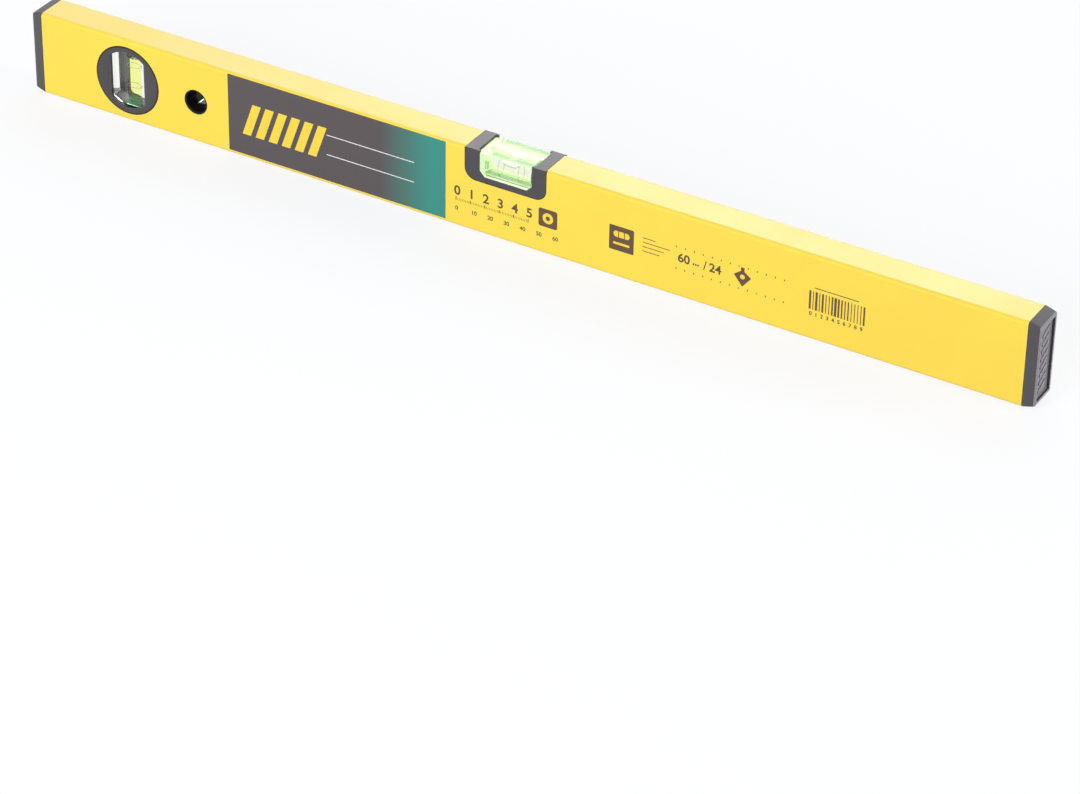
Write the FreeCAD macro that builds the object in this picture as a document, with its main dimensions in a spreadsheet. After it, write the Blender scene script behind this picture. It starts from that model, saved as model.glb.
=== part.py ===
import FreeCAD, Part
import math
import os
import Sketcher

# Box beam level: a closed aluminium box beam with a vial in its top edge, a plumb vial near its left end,
# a lined hanging hole and a cap on each end.
# Frame: origin under the middle of the beam, +X along the beam, -Y to the printed face, +Z up, millimetres.

SIZES = {
    # Beam
    "beam_length": 597.0,
    "beam_height": 50.0,
    "beam_width": 20.5,
    "corner_radius": 2.0,
    "side_wall": 1.3,
    "base_wall": 2.0,
    "top_wall": 1.6,
    "rib_reach": 1.2,
    "rib_thickness": 1.4,
    "rib_offset": 14.0,
    # End caps
    "cap_thickness": 6.5,
    "cap_end_width": 18.1,
    "cap_end_height": 46.0,
    "cap_end_radius": 1.6,
    "cap_edge_bevel": 0.6,
    "cap_rim": 1.6,
    "cap_panel_depth": 1.4,
    "plug_length": 16.0,
    "plug_wall": 1.6,
    "crush_rib_width": 1.2,
    "crush_rib_offset": 6.0,
    # Level vial frame, counted down from the top of the beam
    "level_offset": -1.0,
    "frame_length": 49.0,
    "frame_depth": 18.4,
    "frame_corner_radius": 6.5,
    "frame_edge_radius": 0.5,
    "frame_lip": 1.5,
    "frame_strip": 2.6,
    "frame_floor": 2.0,
    "frame_core_wall": 1.5,
    "window_length": 31.6,
    "window_chamfer": 3.0,
    # Level vial block and its barrel-shaped bore
    "level_block_length": 34.0,
    "level_block_drop": 1.4,
    "level_bore_roof": 2.2,
    "level_bore_radius": 4.7,
    "level_bore_bulge": 0.15,
    "level_bore_length": 27.0,
    "level_bubble_length": 11.0,
    "level_bubble_width": 7.2,
    "level_bubble_height": 3.0,
    "block_chamfer": 0.4,
    # Plumb vial, its block and its two bezels
    "plumb_inset": 57.0,
    "bezel_radius": 20.15,
    "bezel_proud": 0.15,
    "bezel_edge_chamfer": 0.3,
    "bezel_lip": 2.2,
    "bezel_bevel": 0.6,
    "drum_radius": 19.4,
    "spigot_length": 1.2,
    "spigot_wall": 0.9,
    "plumb_window_radius": 16.9,
    "plumb_window_width": 21.8,
    "plumb_block_radius": 17.5,
    "plumb_block_width": 23.0,
    "plumb_block_height": 33.0,
    "plumb_bore_radius": 4.5,
    "plumb_bore_bulge": 0.12,
    "plumb_bore_length": 26.0,
    "plumb_bubble_height": 3.2,
    "plumb_dome_radius": 4.9,
    # Marking rings in both bores
    "ring_spacing": 12.4,
    "ring_width": 0.6,
    "ring_thickness": 0.3,
    # Lining of the hanging hole
    "hang_inset": 102.1,
    "sleeve_radius": 7.2,
    "sleeve_bore_radius": 6.0,
    "sleeve_lap": 3.0,
    "sleeve_mouth_chamfer": 0.4,
    # Printed foil on the front face
    "label_inset": 123.4,
    "label_length": 137.6,
    "label_base": 2.3,
    "label_drop": 1.0,
    "foil_thickness": 0.1,
    # Cast resin that holds the vials
    "level_bed_length": 34.0,
    "level_bed_depth": 7.5,
    "plumb_bed_reach": 5.0,
    # Clearances and the overrun of every cut
    "loose_gap": 0.2,
    "close_gap": 0.1,
    "film": 0.05,
    "overrun": 1.0,
}

doc = FreeCAD.newDocument("BoxBeamLevel")
sheet = doc.addObject("Spreadsheet::Sheet", "Sizes")
for row, (alias, value) in enumerate(SIZES.items(), start=1):
    sheet.set("A%d" % row, alias)
    sheet.set("B%d" % row, str(value))
    sheet.setAlias("B%d" % row, alias)
doc.recompute()


class Size:
    """A length together with the sheet expression that gives it."""

    def __init__(self, value, text):
        self.value = value
        self.text = text

    def __add__(self, other):
        return Size(self.value + other.value, "(%s + %s)" % (self.text, other.text))

    def __sub__(self, other):
        return Size(self.value - other.value, "(%s - %s)" % (self.text, other.text))

    def __neg__(self):
        return Size(-self.value, "(-%s)" % self.text)

    def __mul__(self, number):
        return Size(self.value * number, "(%s * %s)" % (self.text, number))

    def __truediv__(self, number):
        return Size(self.value / number, "(%s / %s)" % (self.text, number))

    def squared(self):
        return Size(self.value ** 2, "(%s * %s)" % (self.text, self.text))

    def over(self, other):
        return Size(self.value / other.value, "(%s / %s)" % (self.text, other.text))


class Sheet:
    """Every alias of the sheet as a Size attribute."""


S = Sheet()
for alias in SIZES:
    setattr(S, alias, Size(sheet.get(alias), "Sizes." + alias))
zero = Size(0.0, "0")

# Places that several pieces share
half_width = S.beam_width / 2
half_height = S.beam_height / 2
half_length = S.beam_length / 2
face_y = half_width + S.bezel_proud
inner_half_width = half_width - S.side_wall
plumb_x = S.plumb_inset - half_length
hang_x = S.hang_inset - half_length
frame_base = S.beam_height - S.frame_depth
window_floor = frame_base + S.frame_strip
pocket_floor = frame_base + S.frame_floor
level_block_base = pocket_floor + S.close_gap
level_block_top = S.beam_height - S.level_block_drop
level_block_depth = S.beam_width - (S.frame_lip + S.close_gap) * 2
level_axis_z = level_block_top - S.level_bore_roof - S.level_bore_radius
plumb_block_depth = S.beam_width - (S.bezel_lip + S.close_gap) * 2

# Turns: the first takes Z to Y, the second Z to X and X to -Z, the third turns a piece end for end
TURN_TO_Y = FreeCAD.Rotation(FreeCAD.Vector(1, 0, 0), -90)
TURN_TO_X = FreeCAD.Rotation(FreeCAD.Vector(0, 1, 0), 90)
HALF_TURN = FreeCAD.Rotation(FreeCAD.Vector(0, 0, 1), 180)
PARALLEL = 1e-6

SUBPARTS = []


def tie(thing, **sizes):
    """Bind properties of an object to sheet expressions."""
    for prop, size in sizes.items():
        thing.setExpression(prop, size.text)


def place(thing, x=zero, y=zero, z=zero, rotation=None):
    """Bind an object's position to sheet expressions, after its rotation is set."""
    if rotation is not None:
        thing.Placement = FreeCAD.Placement(FreeCAD.Vector(), rotation)
    thing.setExpression("Placement.Base.x", x.text)
    thing.setExpression("Placement.Base.y", y.text)
    thing.setExpression("Placement.Base.z", z.text)


def subpart(thing, node):
    """Give a finished piece the name of its node."""
    thing.Label = node
    SUBPARTS.append(thing)
    return thing


# Part primitives and booleans

def box(x_low, x_high, y_low, y_high, z_low, z_high):
    """A box between two corners."""
    solid = doc.addObject("Part::Box", "Box")
    tie(solid, Length=x_high - x_low, Width=y_high - y_low, Height=z_high - z_low)
    place(solid, x_low, y_low, z_low)
    return solid


def cylinder_y(radius, y_low, y_high, x=zero, z=zero):
    """A cylinder along Y."""
    solid = doc.addObject("Part::Cylinder", "Cylinder")
    tie(solid, Radius=radius, Height=y_high - y_low)
    place(solid, x, y_low, z, TURN_TO_Y)
    return solid


def cylinder_x(radius, x_low, x_high):
    """A cylinder along the X axis."""
    solid = doc.addObject("Part::Cylinder", "Cylinder")
    tie(solid, Radius=radius, Height=x_high - x_low)
    place(solid, x_low, zero, zero, TURN_TO_X)
    return solid


def cone_y(radius_low, radius_high, y_low, y_high):
    """A cone along Y between two radii."""
    solid = doc.addObject("Part::Cone", "Cone")
    tie(solid, Radius1=radius_low, Radius2=radius_high, Height=y_high - y_low)
    place(solid, zero, y_low, zero, TURN_TO_Y)
    return solid


def cut(base, *tools):
    """The base less every tool."""
    for tool in tools:
        result = doc.addObject("Part::Cut", "Cut")
        result.Base = base
        result.Tool = tool
        base = result
    return base


def fuse(*solids):
    """One solid of several."""
    result = doc.addObject("Part::MultiFuse", "Fuse")
    result.Shapes = list(solids)
    result.Refine = True
    return result


def common(*solids):
    """What all the solids share."""
    result = doc.addObject("Part::MultiCommon", "Common")
    result.Shapes = list(solids)
    return result


# Sketches

def sketch_on(body, name, role, x=zero, y=zero, lift=zero):
    """A sketch on one of the body's own origin planes, its origin moved in the plane and lifted off it."""
    sketch = body.newObject("Sketcher::SketchObject", name)
    plane = [feature for feature in body.Origin.OriginFeatures if feature.Role == role][0]
    sketch.AttachmentSupport = [(plane, "")]
    sketch.MapMode = "FlatFace"
    sketch.setExpression("AttachmentOffset.Base.x", x.text)
    sketch.setExpression("AttachmentOffset.Base.y", y.text)
    sketch.setExpression("AttachmentOffset.Base.z", lift.text)
    return sketch


def constrain(sketch, kind, *items):
    """Add a constraint whose last item may be a Size."""
    size = items[-1]
    if isinstance(size, Size):
        index = sketch.addConstraint(Sketcher.Constraint(kind, *items[:-1], size.value))
        sketch.setExpression("Constraints[%d]" % index, size.text)
    else:
        sketch.addConstraint(Sketcher.Constraint(kind, *items))


def polygon(sketch, corners):
    """A closed outline of straight lines through corners given as pairs of sizes."""
    first = sketch.GeometryCount
    points = [FreeCAD.Vector(x.value, y.value, 0) for x, y in corners]
    for start, end in zip(points, points[1:] + points[:1]):
        sketch.addGeometry(Part.LineSegment(start, end), False)
    for index, (x, y) in enumerate(corners):
        line = first + index
        following = first + (index + 1) % len(corners)
        constrain(sketch, "Coincident", line, 2, following, 1)
        constrain(sketch, "DistanceX", line, 1, x)
        constrain(sketch, "DistanceY", line, 1, y)


def rectangle(sketch, x_low, x_high, y_low, y_high):
    """A closed rectangle."""
    polygon(sketch, [(x_low, y_low), (x_high, y_low), (x_high, y_high), (x_low, y_high)])


def circle(sketch, x, y, radius):
    """A full circle."""
    centre = FreeCAD.Vector(x.value, y.value, 0)
    index = sketch.addGeometry(Part.Circle(centre, FreeCAD.Vector(0, 0, 1), radius.value), False)
    constrain(sketch, "DistanceX", index, 3, x)
    constrain(sketch, "DistanceY", index, 3, y)
    constrain(sketch, "Radius", index, radius)


def rounded_rectangle(sketch, width, y_low, y_high, radius):
    """A rectangle about the sketch's vertical axis, with round corners."""
    right, low, high, bend = (width / 2).value, y_low.value, y_high.value, radius.value
    turns = [(right, low, -1, 1), (right, high, -1, -1), (-right, high, 1, -1), (-right, low, 1, 1)]
    for index, (x, y, inward_x, inward_y) in enumerate(turns):
        start_angle = math.pi / 2 * (index - 1)
        centre = FreeCAD.Vector(x + inward_x * bend, y + inward_y * bend, 0)
        round_corner = Part.Circle(centre, FreeCAD.Vector(0, 0, 1), bend)
        sketch.addGeometry(Part.ArcOfCircle(round_corner, start_angle, start_angle + math.pi / 2), False)
    for index in range(4):
        start = sketch.getPoint(index, 2)
        end = sketch.getPoint((index + 1) % 4, 1)
        sketch.addGeometry(Part.LineSegment(start, end), False)
    for index in range(4):
        constrain(sketch, "Tangent", index, 2, 4 + index, 1)
        constrain(sketch, "Tangent", 4 + index, 2, (index + 1) % 4, 1)
        constrain(sketch, "Vertical" if index % 2 == 0 else "Horizontal", 4 + index)
        constrain(sketch, "Radius", index, radius)
    constrain(sketch, "DistanceX", 4, 1, width / 2)
    constrain(sketch, "DistanceX", 6, 1, -(width / 2))
    constrain(sketch, "DistanceY", 5, 1, y_high)
    constrain(sketch, "DistanceY", 7, 1, y_low)


# Features of a body

def new_body(name):
    """An empty body."""
    return doc.addObject("PartDesign::Body", name)


def extrude(body, kind, sketch, length, side="Symmetric", reverse=False):
    """A pad or a pocket of a sketch, to both sides of its plane unless told otherwise."""
    feature = body.newObject("PartDesign::" + kind, kind)
    feature.Profile = sketch
    feature.SideType = side
    feature.Reversed = reverse
    tie(feature, Length=length)
    doc.recompute()
    return feature


def turn(body, kind, sketch):
    """A revolution or a groove of a sketch about the sketch's horizontal axis."""
    feature = body.newObject("PartDesign::" + kind, kind)
    feature.Profile = sketch
    feature.ReferenceAxis = (sketch, ["H_Axis"])
    feature.Angle = 360
    doc.recompute()
    return feature


def dress(body, kind, edge_test, size):
    """A fillet or a chamfer on the edges of the body's tip that pass the test."""
    base = body.Tip
    names = ["Edge%d" % (i + 1) for i, edge in enumerate(base.Shape.Edges) if edge_test(edge)]
    if not names:
        raise RuntimeError("no edge for a %s on %s" % (kind, body.Name))
    feature = body.newObject("PartDesign::" + kind, kind)
    feature.Base = (base, names)
    if kind == "Fillet":
        tie(feature, Radius=size)
    else:
        tie(feature, Size=size)
    doc.recompute()
    return feature


def near(value, size):
    """Whether a measured place is a named one."""
    return abs(value - size.value) < S.film.value / 2


def along(edge, axis):
    """Whether an edge is straight and runs along an axis, 0 for X, 1 for Y, 2 for Z."""
    if not isinstance(edge.Curve, Part.Line):
        return False
    return abs(abs(edge.Curve.Direction[axis]) - 1) < PARALLEL


# Beam

def beam_profile():
    body = new_body("Beam")
    low = S.base_wall
    high = S.beam_height - S.top_wall
    wall = inner_half_width
    rib = wall - S.rib_reach
    half_rib = S.rib_thickness / 2
    section = sketch_on(body, "BeamSection", "YZ_Plane")
    rectangle(section, -half_width, half_width, zero, S.beam_height)
    levels = [half_height - S.rib_offset - half_rib, half_height - S.rib_offset + half_rib,
              half_height + S.rib_offset - half_rib, half_height + S.rib_offset + half_rib]
    right = [(wall, low)]
    for base, top in (levels[:2], levels[2:]):
        right += [(wall, base), (rib, base), (rib, top), (wall, top)]
    right.append((wall, high))
    left = [(-y, z) for y, z in reversed(right)]
    polygon(section, right + left)
    extrude(body, "Pad", section, S.beam_length)

    def long_corner(edge):
        centre = edge.CenterOfMass
        on_side = near(abs(centre.y), half_width)
        on_edge = near(centre.z, zero) or near(centre.z, S.beam_height)
        return along(edge, 0) and on_side and on_edge

    dress(body, "Fillet", long_corner, S.corner_radius)
    through = S.beam_width + S.overrun * 2
    holes = sketch_on(body, "RoundHoles", "XZ_Plane")
    circle(holes, plumb_x, half_height, S.bezel_radius + S.close_gap)
    circle(holes, hang_x, half_height, S.sleeve_radius + S.film)
    extrude(body, "Pocket", holes, through)
    notch_half = S.frame_length / 2 + S.close_gap
    notch_base = frame_base - S.close_gap
    notch = sketch_on(body, "VialNotch", "XZ_Plane")
    rectangle(notch, S.level_offset - notch_half, S.level_offset + notch_half,
              notch_base, S.beam_height + S.overrun)
    extrude(body, "Pocket", notch, through)

    def notch_corner(edge):
        centre = edge.CenterOfMass
        on_end = near(abs(centre.x - S.level_offset.value), notch_half)
        return along(edge, 1) and on_end and near(centre.z, notch_base)

    dress(body, "Fillet", notch_corner, S.frame_corner_radius + S.close_gap)
    place(body)
    subpart(body, "beam_profile")


# End caps, each drawn about its joint with the beam and turned to its end

def end_cap(node, x, rotation):
    body = new_body("Cap")
    joint = sketch_on(body, "Joint", "YZ_Plane")
    rounded_rectangle(joint, S.beam_width, zero, S.beam_height, S.corner_radius)
    bevel = S.cap_edge_bevel
    end_low = half_height - S.cap_end_height / 2
    end_high = half_height + S.cap_end_height / 2
    shoulder = sketch_on(body, "Shoulder", "YZ_Plane", lift=S.cap_thickness - bevel)
    rounded_rectangle(shoulder, S.cap_end_width, end_low, end_high, S.cap_end_radius)
    end = sketch_on(body, "End", "YZ_Plane", lift=S.cap_thickness)
    rounded_rectangle(end, S.cap_end_width - bevel * 2, end_low + bevel, end_high - bevel,
                      S.cap_end_radius - bevel)
    loft = body.newObject("PartDesign::AdditiveLoft", "Taper")
    loft.Profile = joint
    loft.Sections = [shoulder, end]
    loft.Ruled = True
    doc.recompute()
    panel_half = S.cap_end_width / 2 - S.cap_rim
    panel = sketch_on(body, "Panel", "YZ_Plane", lift=S.cap_thickness)
    rectangle(panel, -panel_half, panel_half, end_low + S.cap_rim, end_high - S.cap_rim)
    extrude(body, "Pocket", panel, S.cap_panel_depth, "One side")
    plug_half = inner_half_width - S.rib_reach - S.loose_gap
    plug_low = S.base_wall + S.loose_gap
    plug_high = S.beam_height - S.top_wall - S.loose_gap
    plug = sketch_on(body, "Plug", "YZ_Plane")
    rectangle(plug, -plug_half, plug_half, plug_low, plug_high)
    rectangle(plug, S.plug_wall - plug_half, plug_half - S.plug_wall,
              plug_low + S.plug_wall, plug_high - S.plug_wall)
    extrude(body, "Pad", plug, S.plug_length, "One side", reverse=True)
    ribs = sketch_on(body, "CrushRibs", "YZ_Plane")
    half_rib = S.crush_rib_width / 2
    for offset in (-S.crush_rib_offset, S.crush_rib_offset):
        centre = half_height + offset
        reach = inner_half_width - S.film
        root = plug_half - S.plug_wall / 2
        rectangle(ribs, root, reach, centre - half_rib, centre + half_rib)
        rectangle(ribs, -reach, -root, centre - half_rib, centre + half_rib)
    extrude(body, "Pad", ribs, S.plug_length, "One side", reverse=True)
    place(body, x, rotation=rotation)
    subpart(body, node)


# Level vial

def level_vial_frame():
    body = new_body("LevelFrame")
    middle = S.level_offset
    outer = S.frame_length / 2
    window = S.window_length / 2
    slope = S.window_chamfer
    top = S.beam_height
    outline = sketch_on(body, "FrameOutline", "XZ_Plane")
    right = [(outer, frame_base), (outer, top), (window, top), (window, window_floor + slope),
             (window - slope, window_floor)]
    left = [(-x, z) for x, z in reversed(right)]
    polygon(outline, [(middle + x, z) for x, z in right + left])
    extrude(body, "Pad", outline, S.beam_width)

    def lower_corner(edge):
        centre = edge.CenterOfMass
        return along(edge, 1) and near(abs(centre.x - middle.value), outer) and near(centre.z, frame_base)

    dress(body, "Fillet", lower_corner, S.frame_corner_radius)

    def top_edge(edge):
        centre = edge.CenterOfMass
        return along(edge, 0) and near(abs(centre.y), half_width) and near(centre.z, top)

    dress(body, "Fillet", top_edge, S.frame_edge_radius)
    pocket_half = S.level_block_length / 2 + S.close_gap
    pocket = sketch_on(body, "BlockPocket", "XZ_Plane")
    rectangle(pocket, middle - pocket_half, middle + pocket_half, pocket_floor, top + S.overrun)
    extrude(body, "Pocket", pocket, level_block_depth + S.close_gap * 2)
    cores = sketch_on(body, "ArmCores", "XZ_Plane")
    inner = pocket_half + S.frame_core_wall
    reach = outer - S.frame_core_wall
    for start, end in ((inner, reach), (-reach, -inner)):
        rectangle(cores, middle + start, middle + end, frame_base - S.overrun, top - S.frame_lip)
    extrude(body, "Pocket", cores, S.beam_width - S.frame_lip * 2)
    place(body)
    subpart(body, "level_vial_frame")


def level_resin_bed():
    half = S.level_bed_length / 2
    bed = box(S.level_offset - half, S.level_offset + half, -inner_half_width, inner_half_width,
              frame_base - S.level_bed_depth, frame_base)
    subpart(bed, "level_resin_bed")


# What lies in a bore, drawn with the bore along X about the origin and its plug at the +X end

class Vial:
    """Sizes of one vial and the way its pieces are placed."""

    def __init__(self, name, radius, bulge, bore_length, plug_end, x, z, rotation=None):
        self.name = name
        self.radius = radius
        self.end_radius = radius - bulge
        self.bulge = bulge
        self.half = bore_length / 2
        self.plug_end = plug_end
        self.x = x
        self.z = z
        self.rotation = rotation

    def arc_radius(self, gap):
        """Radius of the barrel's arc, through its two ends and its widest point."""
        return ((self.half - gap).squared().over(self.bulge) + self.bulge) / 2

    def place(self, thing):
        place(thing, self.x, zero, self.z, self.rotation)


def barrel(sketch, vial, gap):
    """Half the section of the bore, drawn in by a gap: three straight sides and the barrel's arc."""
    half = vial.half - gap
    low = vial.end_radius - gap
    high = vial.radius - gap
    corners = [FreeCAD.Vector(x, y, 0) for x, y in (
        (half.value, low.value), (-half.value, low.value), (-half.value, 0), (half.value, 0))]
    crown = FreeCAD.Vector(0, high.value, 0)
    sketch.addGeometry(Part.Arc(corners[0], crown, corners[1]), False)
    for start, end in zip(corners[1:], corners[2:] + corners[:1]):
        sketch.addGeometry(Part.LineSegment(start, end), False)
    constrain(sketch, "Coincident", 0, 2, 1, 1)
    constrain(sketch, "Coincident", 1, 2, 2, 1)
    constrain(sketch, "Coincident", 2, 2, 3, 1)
    constrain(sketch, "Coincident", 3, 2, 0, 1)
    constrain(sketch, "Vertical", 1)
    constrain(sketch, "Vertical", 3)
    constrain(sketch, "DistanceX", 2, 1, -half)
    constrain(sketch, "DistanceX", 2, 2, half)
    constrain(sketch, "DistanceY", 2, 1, zero)
    constrain(sketch, "DistanceY", 2, 2, zero)
    constrain(sketch, "DistanceY", 1, 1, low)
    constrain(sketch, "DistanceX", 0, 3, zero)
    constrain(sketch, "Radius", 0, vial.arc_radius(gap))


def bore(body, vial):
    """The barrel-shaped bore, the plug's seat and the grooves of the marking rings."""
    hollow = sketch_on(body, "Barrel", "XZ_Plane")
    barrel(hollow, vial, zero)
    turn(body, "Groove", hollow)
    seat = sketch_on(body, "PlugSeat", "XZ_Plane")
    rectangle(seat, vial.half - S.film, vial.plug_end + S.overrun, zero, vial.end_radius)
    turn(body, "Groove", seat)
    grooves = sketch_on(body, "RingGrooves", "XZ_Plane")
    for centre in (-(S.ring_spacing / 2), S.ring_spacing / 2):
        rectangle(grooves, centre - S.ring_width / 2, centre + S.ring_width / 2,
                  vial.end_radius / 2, vial.radius + S.ring_thickness)
    turn(body, "Groove", grooves)


def turned_piece(vial, node, start, end, low, high):
    """A ring or a disc about the bore's axis, between two places and two radii."""
    body = new_body("Turned")
    section = sketch_on(body, "TurnedSection", "XZ_Plane")
    rectangle(section, start, end, low, high)
    turn(body, "Revolution", section)
    vial.place(body)
    subpart(body, node)


def rings_and_plug(vial, first_ring, second_ring):
    """Two thin dark bands let into the wall of the bore, and the disc that seals its open end."""
    half_ring = S.ring_width / 2
    for node, centre in ((first_ring, -(S.ring_spacing / 2)), (second_ring, S.ring_spacing / 2)):
        turned_piece(vial, node, centre - half_ring, centre + half_ring,
                     vial.radius, vial.radius + S.ring_thickness)
    turned_piece(vial, vial.name + "_vial_plug", vial.half, vial.plug_end, zero, vial.end_radius - S.film)


def ball(radius, x, z=zero):
    """A full sphere."""
    solid = doc.addObject("Part::Sphere", "Ball")
    tie(solid, Radius=radius)
    place(solid, x, zero, z)
    return solid


def long_bubble(gap):
    """A lying bubble, round at both ends, its top clipped by the bore."""
    radius = S.level_bubble_width / 2
    reach = S.level_bubble_length / 2 - radius
    z = S.level_bore_radius - S.level_bore_bulge - S.level_bubble_height + radius
    middle = cylinder_x(radius + gap, -reach, reach)
    place(middle, -reach, zero, z, TURN_TO_X)
    return fuse(ball(radius + gap, -reach, z), middle, ball(radius + gap, reach, z))


def dome_bubble(gap):
    """A bubble that fills the top of an upright bore, its underside a dome."""
    crown = -(S.plumb_bore_length / 2)
    return ball(S.plumb_dome_radius + gap, crown + S.plumb_bubble_height - S.plumb_dome_radius)


def liquid_and_bubble(vial, form):
    """The liquid with the hollow that the bubble lies in, and the bubble cut to the bore."""
    body = new_body("Liquid")
    section = sketch_on(body, "LiquidSection", "XZ_Plane")
    barrel(section, vial, S.film)
    turn(body, "Revolution", section)
    liquid = cut(body, form(S.film))
    vial.place(liquid)
    subpart(liquid, vial.name + "_vial_fluid")
    room = cylinder_x(vial.end_radius - S.film * 2, S.film - vial.half, vial.half - S.film)
    bubble = common(form(zero), room)
    vial.place(bubble)
    subpart(bubble, vial.name + "_bubble")


def level_vial():
    half_block = S.level_block_length / 2
    vial = Vial("level", S.level_bore_radius, S.level_bore_bulge, S.level_bore_length,
                half_block, S.level_offset, level_axis_z)
    body = new_body("LevelBlock")
    outline = sketch_on(body, "BlockOutline", "XZ_Plane")
    low = level_block_base - level_axis_z
    high = level_block_top - level_axis_z
    rectangle(outline, -half_block, half_block, low, high)
    extrude(body, "Pad", outline, level_block_depth)

    def face_edge(edge):
        on_face = near(abs(edge.CenterOfMass.y), level_block_depth / 2)
        return on_face and not along(edge, 1)

    dress(body, "Chamfer", face_edge, S.block_chamfer)
    bore(body, vial)
    vial.place(body)
    subpart(body, "level_vial_block")
    rings_and_plug(vial, "level_ring_left", "level_ring_right")
    liquid_and_bubble(vial, long_bubble)


# Plumb vial, its bore turned upright with the plug at the bottom

def window(radius, width, y_low, y_high):
    """A round opening with two flat sides."""
    return common(cylinder_y(radius, y_low, y_high),
                  box(-(width / 2), width / 2, y_low, y_high, -radius, radius))


def bezel(node, has_spigot):
    """Half of the drum that holds the plumb vial, with its flange in the wall of the beam."""
    flange = cylinder_y(S.bezel_radius, -face_y, -inner_half_width)
    rim_edge = S.bezel_edge_chamfer
    face_cone = cone_y(S.bezel_radius - rim_edge, S.bezel_radius + face_y - rim_edge, -face_y, zero)
    drum = cylinder_y(S.drum_radius, -face_y, zero)
    solid = fuse(common(flange, face_cone), drum)
    pocket_radius = S.plumb_block_radius + S.close_gap
    pocket_width = S.plumb_block_width + S.close_gap * 2
    spigot_radius = pocket_radius + S.spigot_wall
    if has_spigot:
        solid = fuse(solid, cylinder_y(spigot_radius, -S.overrun, S.spigot_length))
    else:
        solid = cut(solid, cylinder_y(spigot_radius + S.film, -S.spigot_length - S.close_gap, S.overrun))
    pocket_depth = plumb_block_depth / 2 + S.close_gap
    opening = window(S.plumb_window_radius, S.plumb_window_width, -face_y - S.overrun, zero)
    pocket = window(pocket_radius, pocket_width, -pocket_depth, S.spigot_length + S.overrun)
    bevel = cone_y(S.plumb_window_radius + S.bezel_bevel, S.plumb_window_radius, -face_y,
                   -face_y + S.bezel_bevel)
    chord = S.plumb_window_width / 2 + S.bezel_bevel
    slot = box(-chord, chord, -face_y - S.overrun, zero, -S.bezel_radius, S.bezel_radius)
    solid = cut(solid, opening, pocket, common(bevel, slot))
    place(solid, plumb_x, zero, half_height, None if has_spigot else HALF_TURN)
    subpart(solid, node)


def plumb_vial():
    half_block = S.plumb_block_height / 2
    vial = Vial("plumb", S.plumb_bore_radius, S.plumb_bore_bulge, S.plumb_bore_length,
                half_block, plumb_x, half_height, TURN_TO_X)
    body = new_body("PlumbBlock")
    outline = sketch_on(body, "BlockDisc", "XZ_Plane")
    circle(outline, zero, zero, S.plumb_block_radius)
    extrude(body, "Pad", outline, plumb_block_depth)
    flats = sketch_on(body, "BlockFlats", "XZ_Plane")
    far = S.plumb_block_radius + S.overrun
    flat = S.plumb_block_width / 2
    rectangle(flats, -far, far, flat, far)
    rectangle(flats, -far, far, -far, -flat)
    extrude(body, "Pocket", flats, S.beam_width)
    ends = sketch_on(body, "BlockEnds", "XZ_Plane")
    rectangle(ends, half_block, far, -far, far)
    rectangle(ends, -far, -half_block, -far, far)
    extrude(body, "Pocket", ends, S.beam_width)
    bore(body, vial)
    vial.place(body)
    subpart(body, "plumb_vial_block")
    rings_and_plug(vial, "plumb_ring_upper", "plumb_ring_lower")
    liquid_and_bubble(vial, dome_bubble)


def plumb_resin():
    """Two beds of resin beside the drum, from side wall to side wall and between the ribs of the beam."""
    reach = S.drum_radius + S.plumb_bed_reach
    half = S.rib_offset - S.rib_thickness / 2 - S.close_gap
    for node, start, end in (("plumb_resin_left", -reach, zero), ("plumb_resin_right", zero, reach)):
        block = box(plumb_x + start, plumb_x + end, -inner_half_width, inner_half_width,
                    half_height - half, half_height + half)
        drum = cylinder_y(S.drum_radius + S.film, -half_width, half_width, plumb_x, half_height)
        subpart(cut(block, drum), node)


# Lining of the hanging hole: two sleeves that lap in the middle of the beam

def hang_sleeve(node, is_front):
    """One sleeve; the front one laps outside, the rear one inside."""
    step = (S.sleeve_radius + S.sleeve_bore_radius) / 2
    half_lap = S.sleeve_lap / 2
    if is_front:
        outer_end, inner_end = half_lap, -half_lap
    else:
        outer_end, inner_end = -half_lap, half_lap
    outer = cut(cylinder_y(S.sleeve_radius, -face_y, outer_end),
                cylinder_y(step + S.film / 2, -face_y - S.overrun, half_lap + S.overrun))
    inner = cut(cylinder_y(step - S.film / 2, -face_y, inner_end),
                cylinder_y(S.sleeve_bore_radius, -face_y - S.overrun, half_lap + S.overrun))
    web = cut(cylinder_y(S.sleeve_radius, -face_y, -half_lap),
              cylinder_y(S.sleeve_bore_radius, -face_y - S.overrun, zero))
    mouth = cone_y(S.sleeve_bore_radius + S.sleeve_mouth_chamfer, S.sleeve_bore_radius,
                   -face_y, -face_y + S.sleeve_mouth_chamfer)
    sleeve = cut(fuse(outer, inner, web), mouth)
    place(sleeve, hang_x, zero, half_height, None if is_front else HALF_TURN)
    subpart(sleeve, node)


# Printed foil, bent a little way round the top edge

def skin(gap):
    """The outside of the beam over the label's length, moved out by a gap."""
    body = new_body("Skin")
    section = sketch_on(body, "SkinSection", "YZ_Plane")
    rounded_rectangle(section, S.beam_width + gap * 2, -gap, S.beam_height + gap, S.corner_radius + gap)
    extrude(body, "Pad", section, S.beam_length)
    return body


def front_label():
    start = S.label_inset - half_length
    shell = cut(skin(S.foil_thickness), skin(zero))
    patch = box(start, start + S.label_length, -half_width - S.overrun, -inner_half_width,
                S.label_base, S.beam_height - S.label_drop)
    subpart(common(shell, patch), "front_label")


beam_profile()
end_cap("end_cap_left", -half_length, HALF_TURN)
end_cap("end_cap_right", half_length, None)
level_vial_frame()
level_resin_bed()
level_vial()
bezel("plumb_bezel_front", True)
bezel("plumb_bezel_rear", False)
plumb_vial()
plumb_resin()
hang_sleeve("hang_sleeve_front", True)
hang_sleeve("hang_sleeve_rear", False)
front_label()
doc.recompute()

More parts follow.
